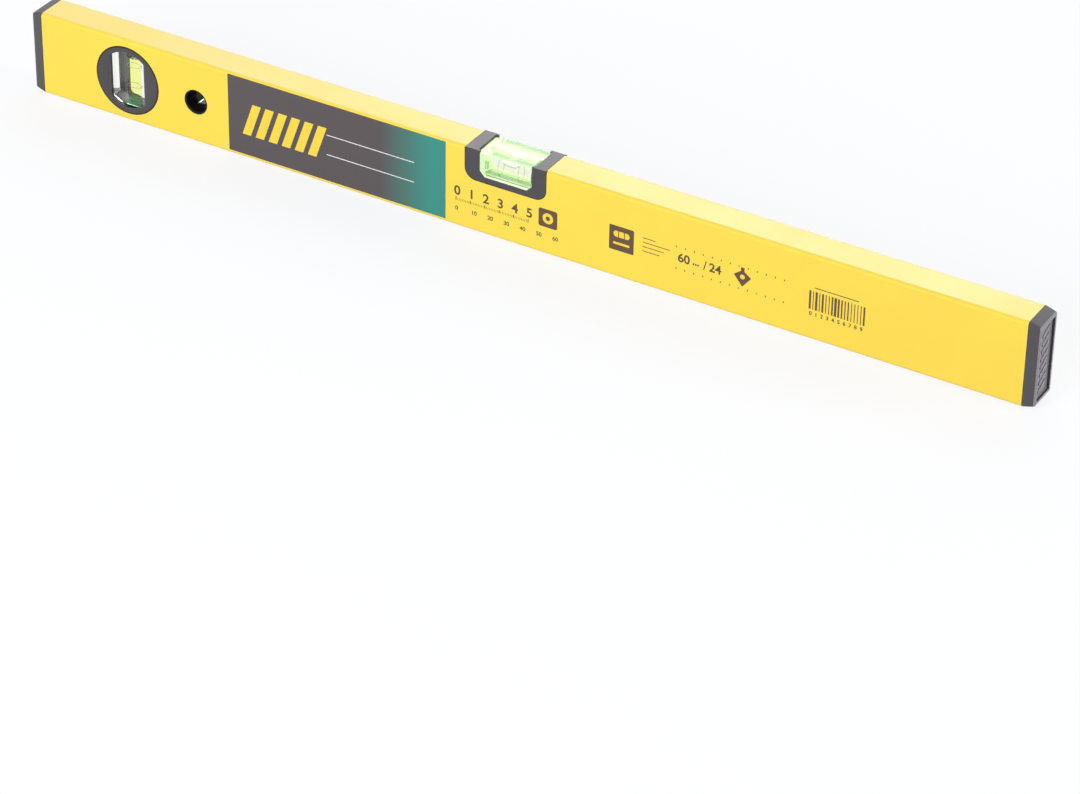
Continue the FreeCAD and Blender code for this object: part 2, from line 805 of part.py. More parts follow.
for thing in doc.Objects:
    if "Invalid" in thing.State or "Error" in thing.State:
        raise RuntimeError("%s failed: %s" % (thing.Name, thing.State))
os.makedirs("parts", exist_ok=True)
for piece in SUBPARTS:
    if piece.Shape.isNull() or not piece.Shape.isValid():
        raise RuntimeError("%s has no valid shape" % piece.Label)
    piece.Shape.exportStep("parts/%s.step" % piece.Label)
    print("%-20s %d solid, %9.2f mm3" % (piece.Label, len(piece.Shape.Solids), piece.Shape.Volume))
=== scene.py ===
import math

import bmesh
import bpy
from mathutils import Matrix, Vector


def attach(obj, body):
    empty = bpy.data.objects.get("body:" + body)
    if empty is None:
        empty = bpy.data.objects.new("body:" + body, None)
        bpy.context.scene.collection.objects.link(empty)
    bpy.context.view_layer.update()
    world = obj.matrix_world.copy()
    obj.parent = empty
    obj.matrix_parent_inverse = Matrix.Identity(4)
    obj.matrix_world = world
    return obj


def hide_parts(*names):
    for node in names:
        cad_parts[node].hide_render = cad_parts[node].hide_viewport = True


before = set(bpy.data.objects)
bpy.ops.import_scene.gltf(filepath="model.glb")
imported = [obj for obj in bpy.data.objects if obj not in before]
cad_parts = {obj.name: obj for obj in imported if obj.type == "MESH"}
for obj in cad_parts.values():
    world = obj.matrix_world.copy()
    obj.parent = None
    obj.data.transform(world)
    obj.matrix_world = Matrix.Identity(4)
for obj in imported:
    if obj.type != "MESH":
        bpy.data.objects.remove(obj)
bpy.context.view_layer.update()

# Box beam level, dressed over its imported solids. Lengths are written in millimetres and turned into metres
# where a mesh, a lamp or the camera is made. The front face looks along -Y and the beam lies along X.

MM = 0.001

# Beam
BEAM_LENGTH = 597.0
BEAM_HEIGHT = 50.0
BEAM_WIDTH = 20.5
CORNER = 2.0
HALF_LENGTH = BEAM_LENGTH / 2
HALF_HEIGHT = BEAM_HEIGHT / 2
FACE = BEAM_WIDTH / 2

# Level vial: the place and bore of its filling, then the block round it
LEVEL_X = -1.0
LEVEL_Z = 40.4
LEVEL_BORE = 5.3
LEVEL_BORE_LENGTH = 27.0
BLOCK_HALF = 17.0
BLOCK_BASE = 33.7
BLOCK_DEPTH = 8.65
BLOCK_CUT = 0.6
PANE_HALF = 15.7
PANE_FOOT = 34.85
PANE_CUT = 3.0
FRAME_HALF = 24.5
SKIN = 0.03  # a seal this far into the block touches it with no air between

# Plumb vial
PLUMB_X = -241.5
PLUMB_BORE = 4.5
PLUMB_BORE_LENGTH = 26.0

# Parts of both vials
PLUG_THICKNESS = 3.5
RING_OFFSET = 6.2
RING_WIDTH = 0.16

# Hanging hole
HANG_X = -196.4

# Label and prints
LABEL_START = -175.1
LABEL_END = -37.5
LABEL_BASE = 2.3
LABEL_FACE = 10.35
INK_THICKNESS = 0.02
FIGURE_WEIGHT = 0.035  # how far a figure's strokes are thickened, as a share of its height

LOOP_STEPS = 96
SHARP = math.radians(32)


# Meshes

def metres(point):
    """A point in metres, from one in millimetres."""
    return Vector(point) * MM


def mesh_of(bm, name, closed=True):
    """A plain mesh with its doubles merged, its faces outward and its flat faces crisp."""
    bmesh.ops.remove_doubles(bm, verts=bm.verts, dist=0.001 * MM)
    if closed:
        bmesh.ops.recalc_face_normals(bm, faces=bm.faces)
    mesh = bpy.data.meshes.new(name)
    bm.to_mesh(mesh)
    bm.free()
    soften(mesh)
    return mesh


def soften(mesh):
    """Smooth shading, with the sharp corners kept."""
    mesh.shade_smooth()
    mesh.set_sharp_from_angle(angle=SHARP)


def put(name, data):
    """An object for a mesh, a curve, a lamp or a camera, at the origin."""
    thing = bpy.data.objects.new(name, data)
    bpy.context.scene.collection.objects.link(thing)
    return thing


def plain(thing):
    """The object with its modifiers turned into its mesh."""
    bpy.context.view_layer.update()
    ready = thing.evaluated_get(bpy.context.evaluated_depsgraph_get())
    made = bpy.data.meshes.new_from_object(ready)
    made.name = thing.name
    thing.modifiers.clear()
    thing.data = made
    return thing


def rounded(thing, width, steps=3):
    """The object with its sharp edges rounded over."""
    soften(thing.data)
    bevel = thing.modifiers.new("Edges", "BEVEL")
    bevel.width = width * MM
    bevel.segments = steps
    bevel.limit_method = "ANGLE"
    bevel.angle_limit = SHARP
    bevel.harden_normals = True
    return plain(thing)


def skinned(name, loops, ring=False):
    """An object skinned over equal loops. A ring joins the last to the first; else both ends are closed."""
    bm = bmesh.new()
    rows = [[bm.verts.new(metres(point)) for point in loop] for loop in loops]
    count = len(loops[0])
    pairs = list(zip(rows, rows[1:]))
    if ring:
        pairs.append((rows[-1], rows[0]))
    for one, other in pairs:
        for i in range(count):
            j = (i + 1) % count
            bm.faces.new((one[i], one[j], other[j], other[i]))
    if not ring:
        bm.faces.new(rows[0])
        bm.faces.new(rows[-1][::-1])
    return put(name, mesh_of(bm, name))


def arc_points(centre, radius, start, end, steps):
    """Points along an arc, angles in degrees."""
    found = []
    for i in range(steps + 1):
        angle = math.radians(start + (end - start) * i / steps)
        found.append((centre[0] + radius * math.cos(angle), centre[1] + radius * math.sin(angle)))
    return found


def round_box(width, height, radius, steps=6, middle=(0.0, 0.0)):
    """A rectangle with round corners, as points in a plane."""
    across, up = width / 2 - radius, height / 2 - radius
    points = []
    for sign_x, sign_y, start in ((1, -1, -90), (1, 1, 0), (-1, 1, 90), (-1, -1, 180)):
        centre = (middle[0] + sign_x * across, middle[1] + sign_y * up)
        points += arc_points(centre, radius, start, start + 90, steps)
    return points


def turned(profile, place, axis, steps=LOOP_STEPS):
    """Loops of a turned piece. The profile has pairs of radius and distance along the axis."""
    loops = []
    for radius, reach in profile:
        loop = []
        for i in range(steps):
            angle = 2 * math.pi * i / steps
            a, b = radius * math.cos(angle), radius * math.sin(angle)
            offset = {"X": (reach, a, b), "Y": (a, reach, b), "Z": (a, b, reach)}[axis]
            loop.append(Vector(place) + Vector(offset))
        loops.append(loop)
    return loops


def block_between(name, low, high):
    """A square block between two corners, to cut with or to be rounded."""
    bm = bmesh.new()
    bmesh.ops.create_cube(bm, size=1.0)
    low, high = metres(low), metres(high)
    for vert in bm.verts:
        vert.co = Vector((low[i] + (high[i] - low[i]) * (vert.co[i] + 0.5) for i in range(3)))
    return put(name, mesh_of(bm, name))


def carve(thing, *tools):
    """The object less every tool, which goes away."""
    for tool in tools:
        cutting = thing.modifiers.new("Carve", "BOOLEAN")
        cutting.operation = "DIFFERENCE"
        cutting.solver = "EXACT"
        cutting.object = tool
    plain(thing)
    for tool in tools:
        bpy.data.objects.remove(tool)
    return thing


def slab(name, outline, low, high, axis="Y"):
    """A flat piece: an outline in its plane, given thickness along an axis."""
    loops = [[(a, reach, b) if axis == "Y" else (reach, a, b) for a, b in outline] for reach in (low, high)]
    return skinned(name, loops)


def wear(thing, *finishes):
    """Give an object its materials."""
    thing.data.materials.clear()
    for one in finishes:
        thing.data.materials.append(one)
    return thing


def settle(thing, body, slot, *nodes):
    """Hang the piece on its body and hide the imported solids it stands for. The slot is not used."""
    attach(thing, body)
    if nodes:
        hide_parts(*nodes)
    return thing


# Shader helpers

def feed(tree, socket, value):
    """Link a socket to another, or set its number or its colour."""
    if isinstance(value, bpy.types.NodeSocket):
        tree.links.new(value, socket)
    else:
        socket.default_value = (*value, 1.0) if socket.type == "RGBA" else value


def fill(tree, made, **inputs):
    """Feed a node's inputs by their names, with an underscore for each space."""
    for name, value in inputs.items():
        feed(tree, made.inputs[name.replace("_", " ")], value)
    return made


def node(tree, kind, settings=None, **inputs):
    """A node with its settings, its numbers and its links. A kind with no prefix is a shader node."""
    made = tree.nodes.new(kind if "Node" in kind else "ShaderNode" + kind)
    for name, value in (settings or {}).items():
        setattr(made, name, value)
    return fill(tree, made, **inputs)


def mix_colour(tree, share, first, second):
    """A colour between two others."""
    made = node(tree, "Mix", {"data_type": "RGBA"})
    feed(tree, made.inputs[0], share)
    feed(tree, made.inputs[6], first)
    feed(tree, made.inputs[7], second)
    return made.outputs[2]


def reckon(tree, operation, first, second=0.0, limit=False):
    """One step of arithmetic."""
    made = node(tree, "Math", {"operation": operation, "use_clamp": limit})
    feed(tree, made.inputs[0], first)
    feed(tree, made.inputs[1], second)
    return made.outputs[0]


def spread(tree, value, from_low, from_high, to_low=0.0, to_high=1.0):
    """A value moved from one range to another, 0 to 1 unless said."""
    return node(tree, "MapRange", Value=value, From_Min=from_low, From_Max=from_high,
                To_Min=to_low, To_Max=to_high).outputs["Result"]


def effect(name, inputs, outputs):
    """An empty shader group with named sockets, and its two ends."""
    group = bpy.data.node_groups.new(name, "ShaderNodeTree")
    for label, value in inputs:
        socket = group.interface.new_socket(label, in_out="INPUT", socket_type="NodeSocketFloat")
        socket.default_value = value
    for label in outputs:
        group.interface.new_socket(label, in_out="OUTPUT", socket_type="NodeSocketFloat")
    start = group.nodes.new("NodeGroupInput")
    end = group.nodes.new("NodeGroupOutput")
    return group, start, end


def use(tree, group, **inputs):
    """A shader group placed in a material with its own values."""
    return node(tree, "Group", {"node_tree": group}, **inputs)


# Effects that several finishes share

def moulded_grain():
    """Fine spark-eroded grain: a height for bump and a tone that follows it."""
    group, start, end = effect("Moulded grain", [("Grain per metre", 2600.0)], ["Height", "Tone"])
    where = node(group, "TexCoord").outputs["Object"]
    fine = node(group, "TexNoise", Vector=where, Scale=start.outputs[0], Detail=3.0, Roughness=0.6)
    pits = node(group, "TexVoronoi", {"feature": "SMOOTH_F1"}, Vector=where, Scale=start.outputs[0],
                Smoothness=0.6)
    height = reckon(group, "ADD", fine.outputs[0], reckon(group, "MULTIPLY", pits.outputs["Distance"], 0.6))
    fill(group, end, Height=height, Tone=spread(group, height, 0.5, 1.1))
    return group


def handling():
    """Soft smudges and a few hair scratches left by hands and cloths."""
    group, start, end = effect("Handling", [("Smudges per metre", 22.0), ("Scratches per metre", 260.0)],
                               ["Smudge", "Scratch"])
    where = node(group, "TexCoord").outputs["Object"]
    broad = node(group, "TexNoise", Vector=where, Scale=start.outputs[0], Detail=5.0, Roughness=0.55)
    drawn = node(group, "Mapping", Vector=where, Scale=(0.06, 1.0, 1.0))
    hair = node(group, "TexNoise", Vector=drawn.outputs[0], Scale=start.outputs[1], Detail=2.0)
    fill(group, end, Smudge=spread(group, broad.outputs[0], 0.35, 0.7),
         Scratch=spread(group, hair.outputs[0], 0.66, 0.72))
    return group


def edge_rub():
    """Where an outer edge catches hands, and where dark plastics take a painted edge highlight: 1 on the edge,
    0 on flat faces.
    """
    group, start, end = effect("Edge rub and highlight", [("Reach", 0.0006), ("Breaks per metre", 420.0)], ["Rub"])
    eased = node(group, "Bevel", {"samples": 4}, Radius=start.outputs[0])
    flat = node(group, "NewGeometry")
    same = node(group, "VectorMath", {"operation": "DOT_PRODUCT"})
    feed(group, same.inputs[0], eased.outputs[0])
    feed(group, same.inputs[1], flat.outputs["Normal"])
    rim = spread(group, same.outputs["Value"], 0.995, 0.86)
    where = node(group, "TexCoord").outputs["Object"]
    breaks = node(group, "TexNoise", Vector=where, Scale=start.outputs[1], Detail=4.0)
    patchy = spread(group, breaks.outputs[0], 0.4, 0.62, 0.25, 1.0)
    fill(group, end, Rub=reckon(group, "MULTIPLY", rim, patchy, True))
    return group


def orange_peel():
    """The slow ripple of a powder coating, with a few specks of dust under it."""
    group, start, end = effect("Orange peel", [("Ripples per metre", 750.0)], ["Height", "Speck"])
    where = node(group, "TexCoord").outputs["Object"]
    ripple = node(group, "TexNoise", Vector=where, Scale=start.outputs[0], Detail=1.5)
    dots = node(group, "TexVoronoi", {"feature": "F1"}, Vector=where, Scale=95.0)
    fill(group, end, Height=ripple.outputs[0], Speck=spread(group, dots.outputs["Distance"], 0.05, 0.035))
    return group


GRAIN = moulded_grain()
HANDLING = handling()
EDGE_RUB_AND_HIGHLIGHT = edge_rub()
PEEL = orange_peel()


# Finishes

def finish(name):
    """An empty material, its tree and its main shader."""
    material = bpy.data.materials.new(name)
    material.use_nodes = True
    tree = material.node_tree
    return material, tree, tree.nodes["Principled BSDF"]


def bumped(tree, shader, height, depth, strength=1.0):
    """Bump on a shader, its depth in millimetres."""
    bump = node(tree, "Bump", Height=height, Strength=strength, Distance=depth * MM)
    fill(tree, shader, Normal=bump.outputs[0])


def yellow_coating():
    """Warm yellow powder coating, paler where its edges are rubbed."""
    material, tree, shader = finish("yellow coating")
    peel = use(tree, PEEL)
    hands = use(tree, HANDLING)
    rub = use(tree, EDGE_RUB_AND_HIGHLIGHT, Reach=0.5 * MM)
    smudge = hands.outputs["Smudge"]
    speck = reckon(tree, "MULTIPLY", peel.outputs["Speck"], 0.2)
    worn = reckon(tree, "MULTIPLY", rub.outputs["Rub"], 0.15)
    colour = mix_colour(tree, smudge, (0.90, 0.655, 0.068), (0.925, 0.685, 0.077))
    colour = mix_colour(tree, speck, colour, (0.62, 0.42, 0.03))
    colour = mix_colour(tree, worn, colour, (1.0, 0.82, 0.20))
    rough = spread(tree, smudge, 0.0, 1.0, 0.42, 0.50)
    scratched = reckon(tree, "MULTIPLY", hands.outputs["Scratch"], 0.08)
    fill(tree, shader, Base_Color=colour, Roughness=reckon(tree, "ADD", rough, scratched), Coat_Roughness=0.38,
         Coat_Weight=spread(tree, smudge, 0.0, 1.0, 0.5, 0.35))
    bumped(tree, shader, peel.outputs["Height"], 0.03, 0.5)
    return material


def dark_plastic(name, dark, light, rough, depth):
    """Moulded plastic with a fine grain. Its edges are painted lighter, a painted highlight, and are smoother
    where rubbed.
    """
    material, tree, shader = finish(name)
    grain = use(tree, GRAIN)
    hands = use(tree, HANDLING)
    rub = use(tree, EDGE_RUB_AND_HIGHLIGHT, Reach=0.8 * MM).outputs["Rub"]
    # painted highlight: the edge colour is up to three times lighter than the plastic
    edge_highlight = [min(1.0, value * 3.2) for value in light]
    colour = mix_colour(tree, grain.outputs["Tone"], dark, light)
    colour = mix_colour(tree, reckon(tree, "MULTIPLY", rub, 0.6), colour, edge_highlight)
    matt = spread(tree, hands.outputs["Smudge"], 0.0, 1.0, rough, rough + 0.1)
    polished = reckon(tree, "MULTIPLY", rub, 0.22)
    fill(tree, shader, Base_Color=colour, Roughness=reckon(tree, "SUBTRACT", matt, polished))
    bumped(tree, shader, grain.outputs["Height"], depth, 0.6)
    return material


def glossy_lining():
    """Black lining with a painted highlight: one bright streak along its lower left wall, where a lamp's
    reflection runs along the bore.
    """
    material, tree, shader = finish("black lining")
    hands = use(tree, HANDLING)
    where = node(tree, "TexCoord").outputs["Object"]
    turn = math.radians(236)
    axis = Vector((HANG_X, 0.0, HALF_HEIGHT)) * MM

    def along(direction):
        """The distance from the hole's middle in one direction."""
        reach = node(tree, "VectorMath", {"operation": "DOT_PRODUCT"})
        feed(tree, reach.inputs[0], where)
        feed(tree, reach.inputs[1], direction)
        return reckon(tree, "SUBTRACT", reach.outputs["Value"], axis.dot(direction))

    out = along(Vector((math.cos(turn), 0.0, math.sin(turn))))
    across = reckon(tree, "ABSOLUTE", along(Vector((-math.sin(turn), 0.0, math.cos(turn)))))
    deep = reckon(tree, "ABSOLUTE", reckon(tree, "ADD", along(Vector((0.0, 1.0, 0.0))), 0.4 * MM))
    # painted highlight: a narrow band of light metallic colour along the bore's lower left wall
    painted_highlight = reckon(tree, "MULTIPLY", spread(tree, across, 0.12 * MM, 0.42 * MM, 1.0, 0.0),
                    spread(tree, deep, 2.2 * MM, 3.2 * MM, 1.0, 0.0))
    painted_highlight = reckon(tree, "MULTIPLY", painted_highlight, spread(tree, out, 4.0 * MM, 5.0 * MM))
    black = mix_colour(tree, hands.outputs["Smudge"], (0.008, 0.007, 0.006), (0.018, 0.016, 0.014))
    fill(tree, shader, Base_Color=mix_colour(tree, painted_highlight, black, (0.72, 0.72, 0.70)), Metallic=painted_highlight,
         Roughness=spread(tree, hands.outputs["Scratch"], 0.0, 1.0, 0.12, 0.3), Specular_IOR_Level=0.2)
    bumped(tree, shader, hands.outputs["Smudge"], 0.01, 0.2)
    return material


def see_through(name, clear, hazy, ior, rough=0.0, sheen=(1.0, 1.0, 1.0)):
    """Glass-like finish: its tint drifts a little, and its sheen may be tinted too."""
    material, tree, shader = finish(name)
    hands = use(tree, HANDLING, Smudges_per_metre=60.0)
    fill(tree, shader, Base_Color=mix_colour(tree, hands.outputs["Smudge"], clear, hazy), Roughness=rough,
         IOR=ior, Specular_Tint=sheen, Transmission_Weight=1.0)
    return material


def ring_paint():
    """Thin dark paint of the marking rings, which the liquid's green shows through."""
    material, tree, shader = finish("ring black")
    tone = use(tree, GRAIN).outputs["Tone"]
    fill(tree, shader, Base_Color=mix_colour(tree, tone, (0.34, 0.41, 0.20), (0.46, 0.54, 0.30)),
         Roughness=spread(tree, tone, 0.0, 1.0, 0.4, 0.55))
    return material


def vial_seal(name, dark, light, glow, out_of_shade=None):
    """Soft lime seal round the level block. Its emission is a painted glow, and a band in its middle may keep a
    darker colour, a painted shade.
    """
    material, tree, shader = finish(name)
    tone = use(tree, GRAIN).outputs["Tone"]
    colour = mix_colour(tree, tone, dark, light)
    if out_of_shade:
        where = node(tree, "SeparateXYZ", Vector=node(tree, "TexCoord").outputs["Object"])
        # the band near y = 2.2 mm keeps the darker colour: painted shade under the bore
        shade_band_distance = reckon(tree, "ABSOLUTE", reckon(tree, "SUBTRACT", where.outputs["Y"], 2.2 * MM))
        colour = mix_colour(tree, spread(tree, shade_band_distance, 0.8 * MM, 2.8 * MM), colour, out_of_shade)
    # emission of the seal's own colour: a painted glow
    fill(tree, shader, Base_Color=colour, Emission_Color=colour, Emission_Strength=glow,
         Roughness=spread(tree, tone, 0.0, 1.0, 0.5, 0.6))
    return material


def cast_resin():
    """Cloudy resin, set hard, with an uneven skin."""
    material, tree, shader = finish("cast resin")
    smudge = use(tree, HANDLING, Smudges_per_metre=160.0).outputs["Smudge"]
    fill(tree, shader, Base_Color=mix_colour(tree, smudge, (0.50, 0.44, 0.32), (0.62, 0.57, 0.45)),
         Roughness=spread(tree, smudge, 0.0, 1.0, 0.3, 0.5))
    bumped(tree, shader, smudge, 0.1, 0.5)
    return material


def printed_foil():
    """Charcoal that turns to teal towards the label's right end, under a fine print grain."""
    material, tree, shader = finish("printed foil")
    where = node(tree, "SeparateXYZ", Vector=node(tree, "TexCoord").outputs["Object"])
    turn = spread(tree, where.outputs["X"], -78.0 * MM, -47.0 * MM)
    grain = use(tree, GRAIN, Grain_per_metre=3200.0)
    hands = use(tree, HANDLING)
    charcoal = mix_colour(tree, grain.outputs["Tone"], (0.065, 0.054, 0.058), (0.083, 0.070, 0.075))
    teal = mix_colour(tree, grain.outputs["Tone"], (0.026, 0.22, 0.182), (0.034, 0.255, 0.212))
    fill(tree, shader, Base_Color=mix_colour(tree, turn, charcoal, teal),
         Roughness=spread(tree, hands.outputs["Smudge"], 0.0, 1.0, 0.32, 0.44))
    bumped(tree, shader, grain.outputs["Height"], 0.004, 0.4)
    return material


def ink(name, thin, full):
    """Screen ink: full in the middle of its dots, thin between them."""
    material, tree, shader = finish(name)
    grain = use(tree, GRAIN, Grain_per_metre=3000.0)
    fill(tree, shader, Base_Color=mix_colour(tree, grain.outputs["Tone"], full, thin),
         Roughness=spread(tree, grain.outputs["Tone"], 0.0, 1.0, 0.38, 0.5))
    bumped(tree, shader, grain.outputs["Height"], 0.003, 0.4)
    return material


YELLOW = yellow_coating()
CAP_PLASTIC = dark_plastic("cap plastic", (0.055, 0.052, 0.058), (0.075, 0.071, 0.079), 0.46, 0.03)
PANEL_PLASTIC_LIT = dark_plastic("cap panel lit", (0.20, 0.19, 0.21), (0.29, 0.28, 0.31), 0.30, 0.03)
CAP_EDGE_HIGHLIGHT = dark_plastic("cap edge highlight", (0.22, 0.21, 0.23), (0.29, 0.28, 0.30), 0.22, 0.01)
FRAME_PLASTIC = dark_plastic("frame plastic", (0.042, 0.038, 0.045), (0.058, 0.053, 0.062), 0.38, 0.02)
LINING = glossy_lining()
ACRYLIC = see_through("clear acrylic", (0.99, 1.0, 0.975), (0.98, 1.0, 0.96), 1.49)
LEVEL_ACRYLIC = see_through("level acrylic", (0.93, 0.965, 0.84), (0.92, 0.96, 0.825), 1.49,
                            sheen=(0.66, 0.79, 0.38))
LEVEL_LIQUID = see_through("level liquid", (1.0, 1.0, 0.95), (0.99, 1.0, 0.93), 0.955)
PLUMB_LIQUID = see_through("plumb liquid", (0.97, 1.0, 0.38), (0.96, 1.0, 0.35), 0.955)
GAS = see_through("bubble gas", (1.0, 1.0, 0.97), (0.99, 1.0, 0.95), 0.704)
PLUG_ACRYLIC = see_through("plug acrylic", (0.34, 0.70, 0.40), (0.28, 0.62, 0.34), 1.02, 0.12)
RING_BLACK = ring_paint()
RESIN = cast_resin()
SEAL = vial_seal("vial seal", (0.84, 0.97, 0.66), (0.89, 0.98, 0.73), 0.28)
SEAL_SHADE = vial_seal("vial seal shade", (0.21, 0.49, 0.20), (0.25, 0.53, 0.23), 0.12, (0.68, 0.89, 0.54))
SEAL_ARM_SHADE = vial_seal("vial seal arm shade", (0.42, 0.72, 0.36), (0.48, 0.78, 0.42), 0.08)
RIM_SHADE = dark_plastic("bezel rim shade", (0.020, 0.013, 0.007), (0.030, 0.020, 0.012), 0.5, 0.01)
JOINT_SHADOW = dark_plastic("joint shadow", (0.010, 0.006, 0.002), (0.016, 0.010, 0.004), 0.7, 0.005)
FOIL = printed_foil()
DARK_INK = ink("dark ink", (0.15, 0.085, 0.035), (0.055, 0.032, 0.024))
YELLOW_INK = ink("yellow ink", (0.86, 0.60, 0.06), (0.92, 0.66, 0.07))
WHITE_INK = ink("white ink", (0.74, 0.74, 0.74), (0.86, 0.86, 0.86))


# Geometry Nodes: a straight row of bars, for ticks, ribs, stripes and code bars

def row_of_bars():
    """Inputs: where the row starts, its step, a bar's size, and how much the bars vary in width and lean."""
    tree = bpy.data.node_groups.new("Row of bars", "GeometryNodeTree")
    tree.interface.new_socket("Geometry", in_out="OUTPUT", socket_type="NodeSocketGeometry")
    for label, kind, value in (("Count", "Int", 5), ("Start", "Vector", (0, 0, 0)),
                               ("Step", "Vector", (0.001, 0, 0)),
                               ("Bar Size", "Vector", (0.001, 0.001, 0.001)), ("Least Width", "Float", 1.0),
                               ("Most Width", "Float", 1.0), ("Lean Along", "Vector", (0, 0, 1)),
                               ("Lean", "Vector", (0, 0, 0)), ("Seed", "Int", 1), ("Finish", "Material", None)):
        socket = tree.interface.new_socket(label, in_out="INPUT", socket_type="NodeSocket" + kind)
        if value is not None:
            socket.default_value = value
    given = tree.nodes.new("NodeGroupInput").outputs
    end = tree.nodes.new("NodeGroupOutput")

    def vector_step(operation, first, second):
        """One step of arithmetic on vectors."""
        made = node(tree, "VectorMath", {"operation": operation})
        feed(tree, made.inputs[0], first)
        feed(tree, made.inputs["Scale" if operation == "SCALE" else 1], second)
        return made.outputs["Value" if operation == "DOT_PRODUCT" else "Vector"]

    line = node(tree, "GeometryNodeMeshLine", {"mode": "OFFSET"}, Count=given["Count"],
                Start_Location=given["Start"], Offset=given["Step"])
    bar = node(tree, "GeometryNodeMeshCube", Size=given["Bar Size"])
    width = node(tree, "FunctionNodeRandomValue", {"data_type": "FLOAT"}, Seed=given["Seed"])
    feed(tree, width.inputs[2], given["Least Width"])
    feed(tree, width.inputs[3], given["Most Width"])
    size = node(tree, "CombineXYZ", X=width.outputs[1], Y=1.0, Z=1.0)
    placed = node(tree, "GeometryNodeInstanceOnPoints", Points=line.outputs[0], Instance=bar.outputs["Mesh"],
                  Scale=size.outputs[0])
    real = node(tree, "GeometryNodeRealizeInstances", Geometry=placed.outputs[0])
    from_start = vector_step("SUBTRACT", node(tree, "GeometryNodeInputPosition").outputs[0], given["Start"])
    rise = vector_step("DOT_PRODUCT", from_start, given["Lean Along"])
    leaning = node(tree, "GeometryNodeSetPosition", Geometry=real.outputs[0],
                   Offset=vector_step("SCALE", given["Lean"], rise))
    coloured = node(tree, "GeometryNodeSetMaterial", Geometry=leaning.outputs[0], Material=given["Finish"])
    feed(tree, end.inputs[0], coloured.outputs[0])
    return tree


BARS = row_of_bars()


def bars(name, count, start, step, size, material, least=1.0, most=1.0, along=(0, 0, 1), lean=(0, 0, 0),
         seed=1, edge=0.0):
    """One row of bars as a plain mesh."""
    thing = put(name, bpy.data.meshes.new(name))
    maker = thing.modifiers.new("Bars", "NODES")
    maker.node_group = BARS
    values = {"Count": count, "Start": metres(start), "Step": metres(step), "Bar Size": metres(size),
              "Least Width": least, "Most Width": most, "Lean Along": along, "Lean": lean, "Seed": seed,
              "Finish": material}
    for item in BARS.interface.items_tree:
        if item.in_out == "INPUT":
            maker[item.identifier] = values[item.name]
    plain(thing)
    wear(thing, material)
    if edge:
        rounded(thing, edge, 2)
    return thing


def joined(name, things):
    """Several objects as one mesh."""
    bm = bmesh.new()
    materials = []
    for thing in things:
        first = len(bm.faces)
        bm.from_mesh(thing.data)
        bm.faces.ensure_lookup_table()
        material = thing.data.materials[0]
        if material not in materials:
            materials.append(material)
        for face in bm.faces[first:]:
            face.material_index = materials.index(material)
    mesh = bpy.data.meshes.new(name)
    bm.to_mesh(mesh)
    bm.free()
    for thing in things:
        bpy.data.objects.remove(thing)
    for material in materials:
        mesh.materials.append(material)
    soften(mesh)
    return put(name, mesh)


# Camera and studio

def camera():
    """The photograph's view: its angles, how far its axis passes from the origin, and its distance."""
    azimuth, elevation, roll = (math.radians(angle) for angle in (30.086, 33.471, 0.978))
    across, up_shift, distance = 12.54, -86.45, 2261.4
    back = Vector((math.sin(azimuth) * math.cos(elevation), -math.cos(azimuth) * math.cos(elevation),
                   math.sin(elevation)))
    right = Vector((math.cos(azimuth), math.sin(azimuth), 0.0))
    up = back.cross(right)
    turned_right = right * math.cos(roll) + up * math.sin(roll)
    turned_up = up * math.cos(roll) - right * math.sin(roll)
    place = (turned_right * across + turned_up * up_shift + back * distance) * MM
    data = bpy.data.cameras.new("camera")
    data.lens = 142.92
    data.sensor_width = 36.0
    data.clip_start = 0.1
    data.clip_end = 50.0
    made = put("camera", data)
    rotation = Matrix((turned_right, turned_up, back)).transposed().to_4x4()
    made.matrix_world = Matrix.Translation(place) @ rotation
    bpy.context.scene.camera = made


def softbox(name, place, aim, width, height, power):
    """A soft rectangular lamp."""
    data = bpy.data.lights.new(name, "AREA")
    data.shape = "RECTANGLE"
    data.size = width
    data.size_y = height
    data.energy = power
    made = put(name, data)
    made.location = place
    made.rotation_euler = (Vector(aim) - Vector(place)).to_track_quat("-Z", "Y").to_euler()
    return made


def seen_only(tree):
    """1 for rays from the camera, a gloss or through glass, else 0."""
    path = node(tree, "LightPath")
    seen = reckon(tree, "MAXIMUM", path.outputs["Is Camera Ray"], path.outputs["Is Glossy Ray"])
    return reckon(tree, "MAXIMUM", seen, path.outputs["Is Transmission Ray"])


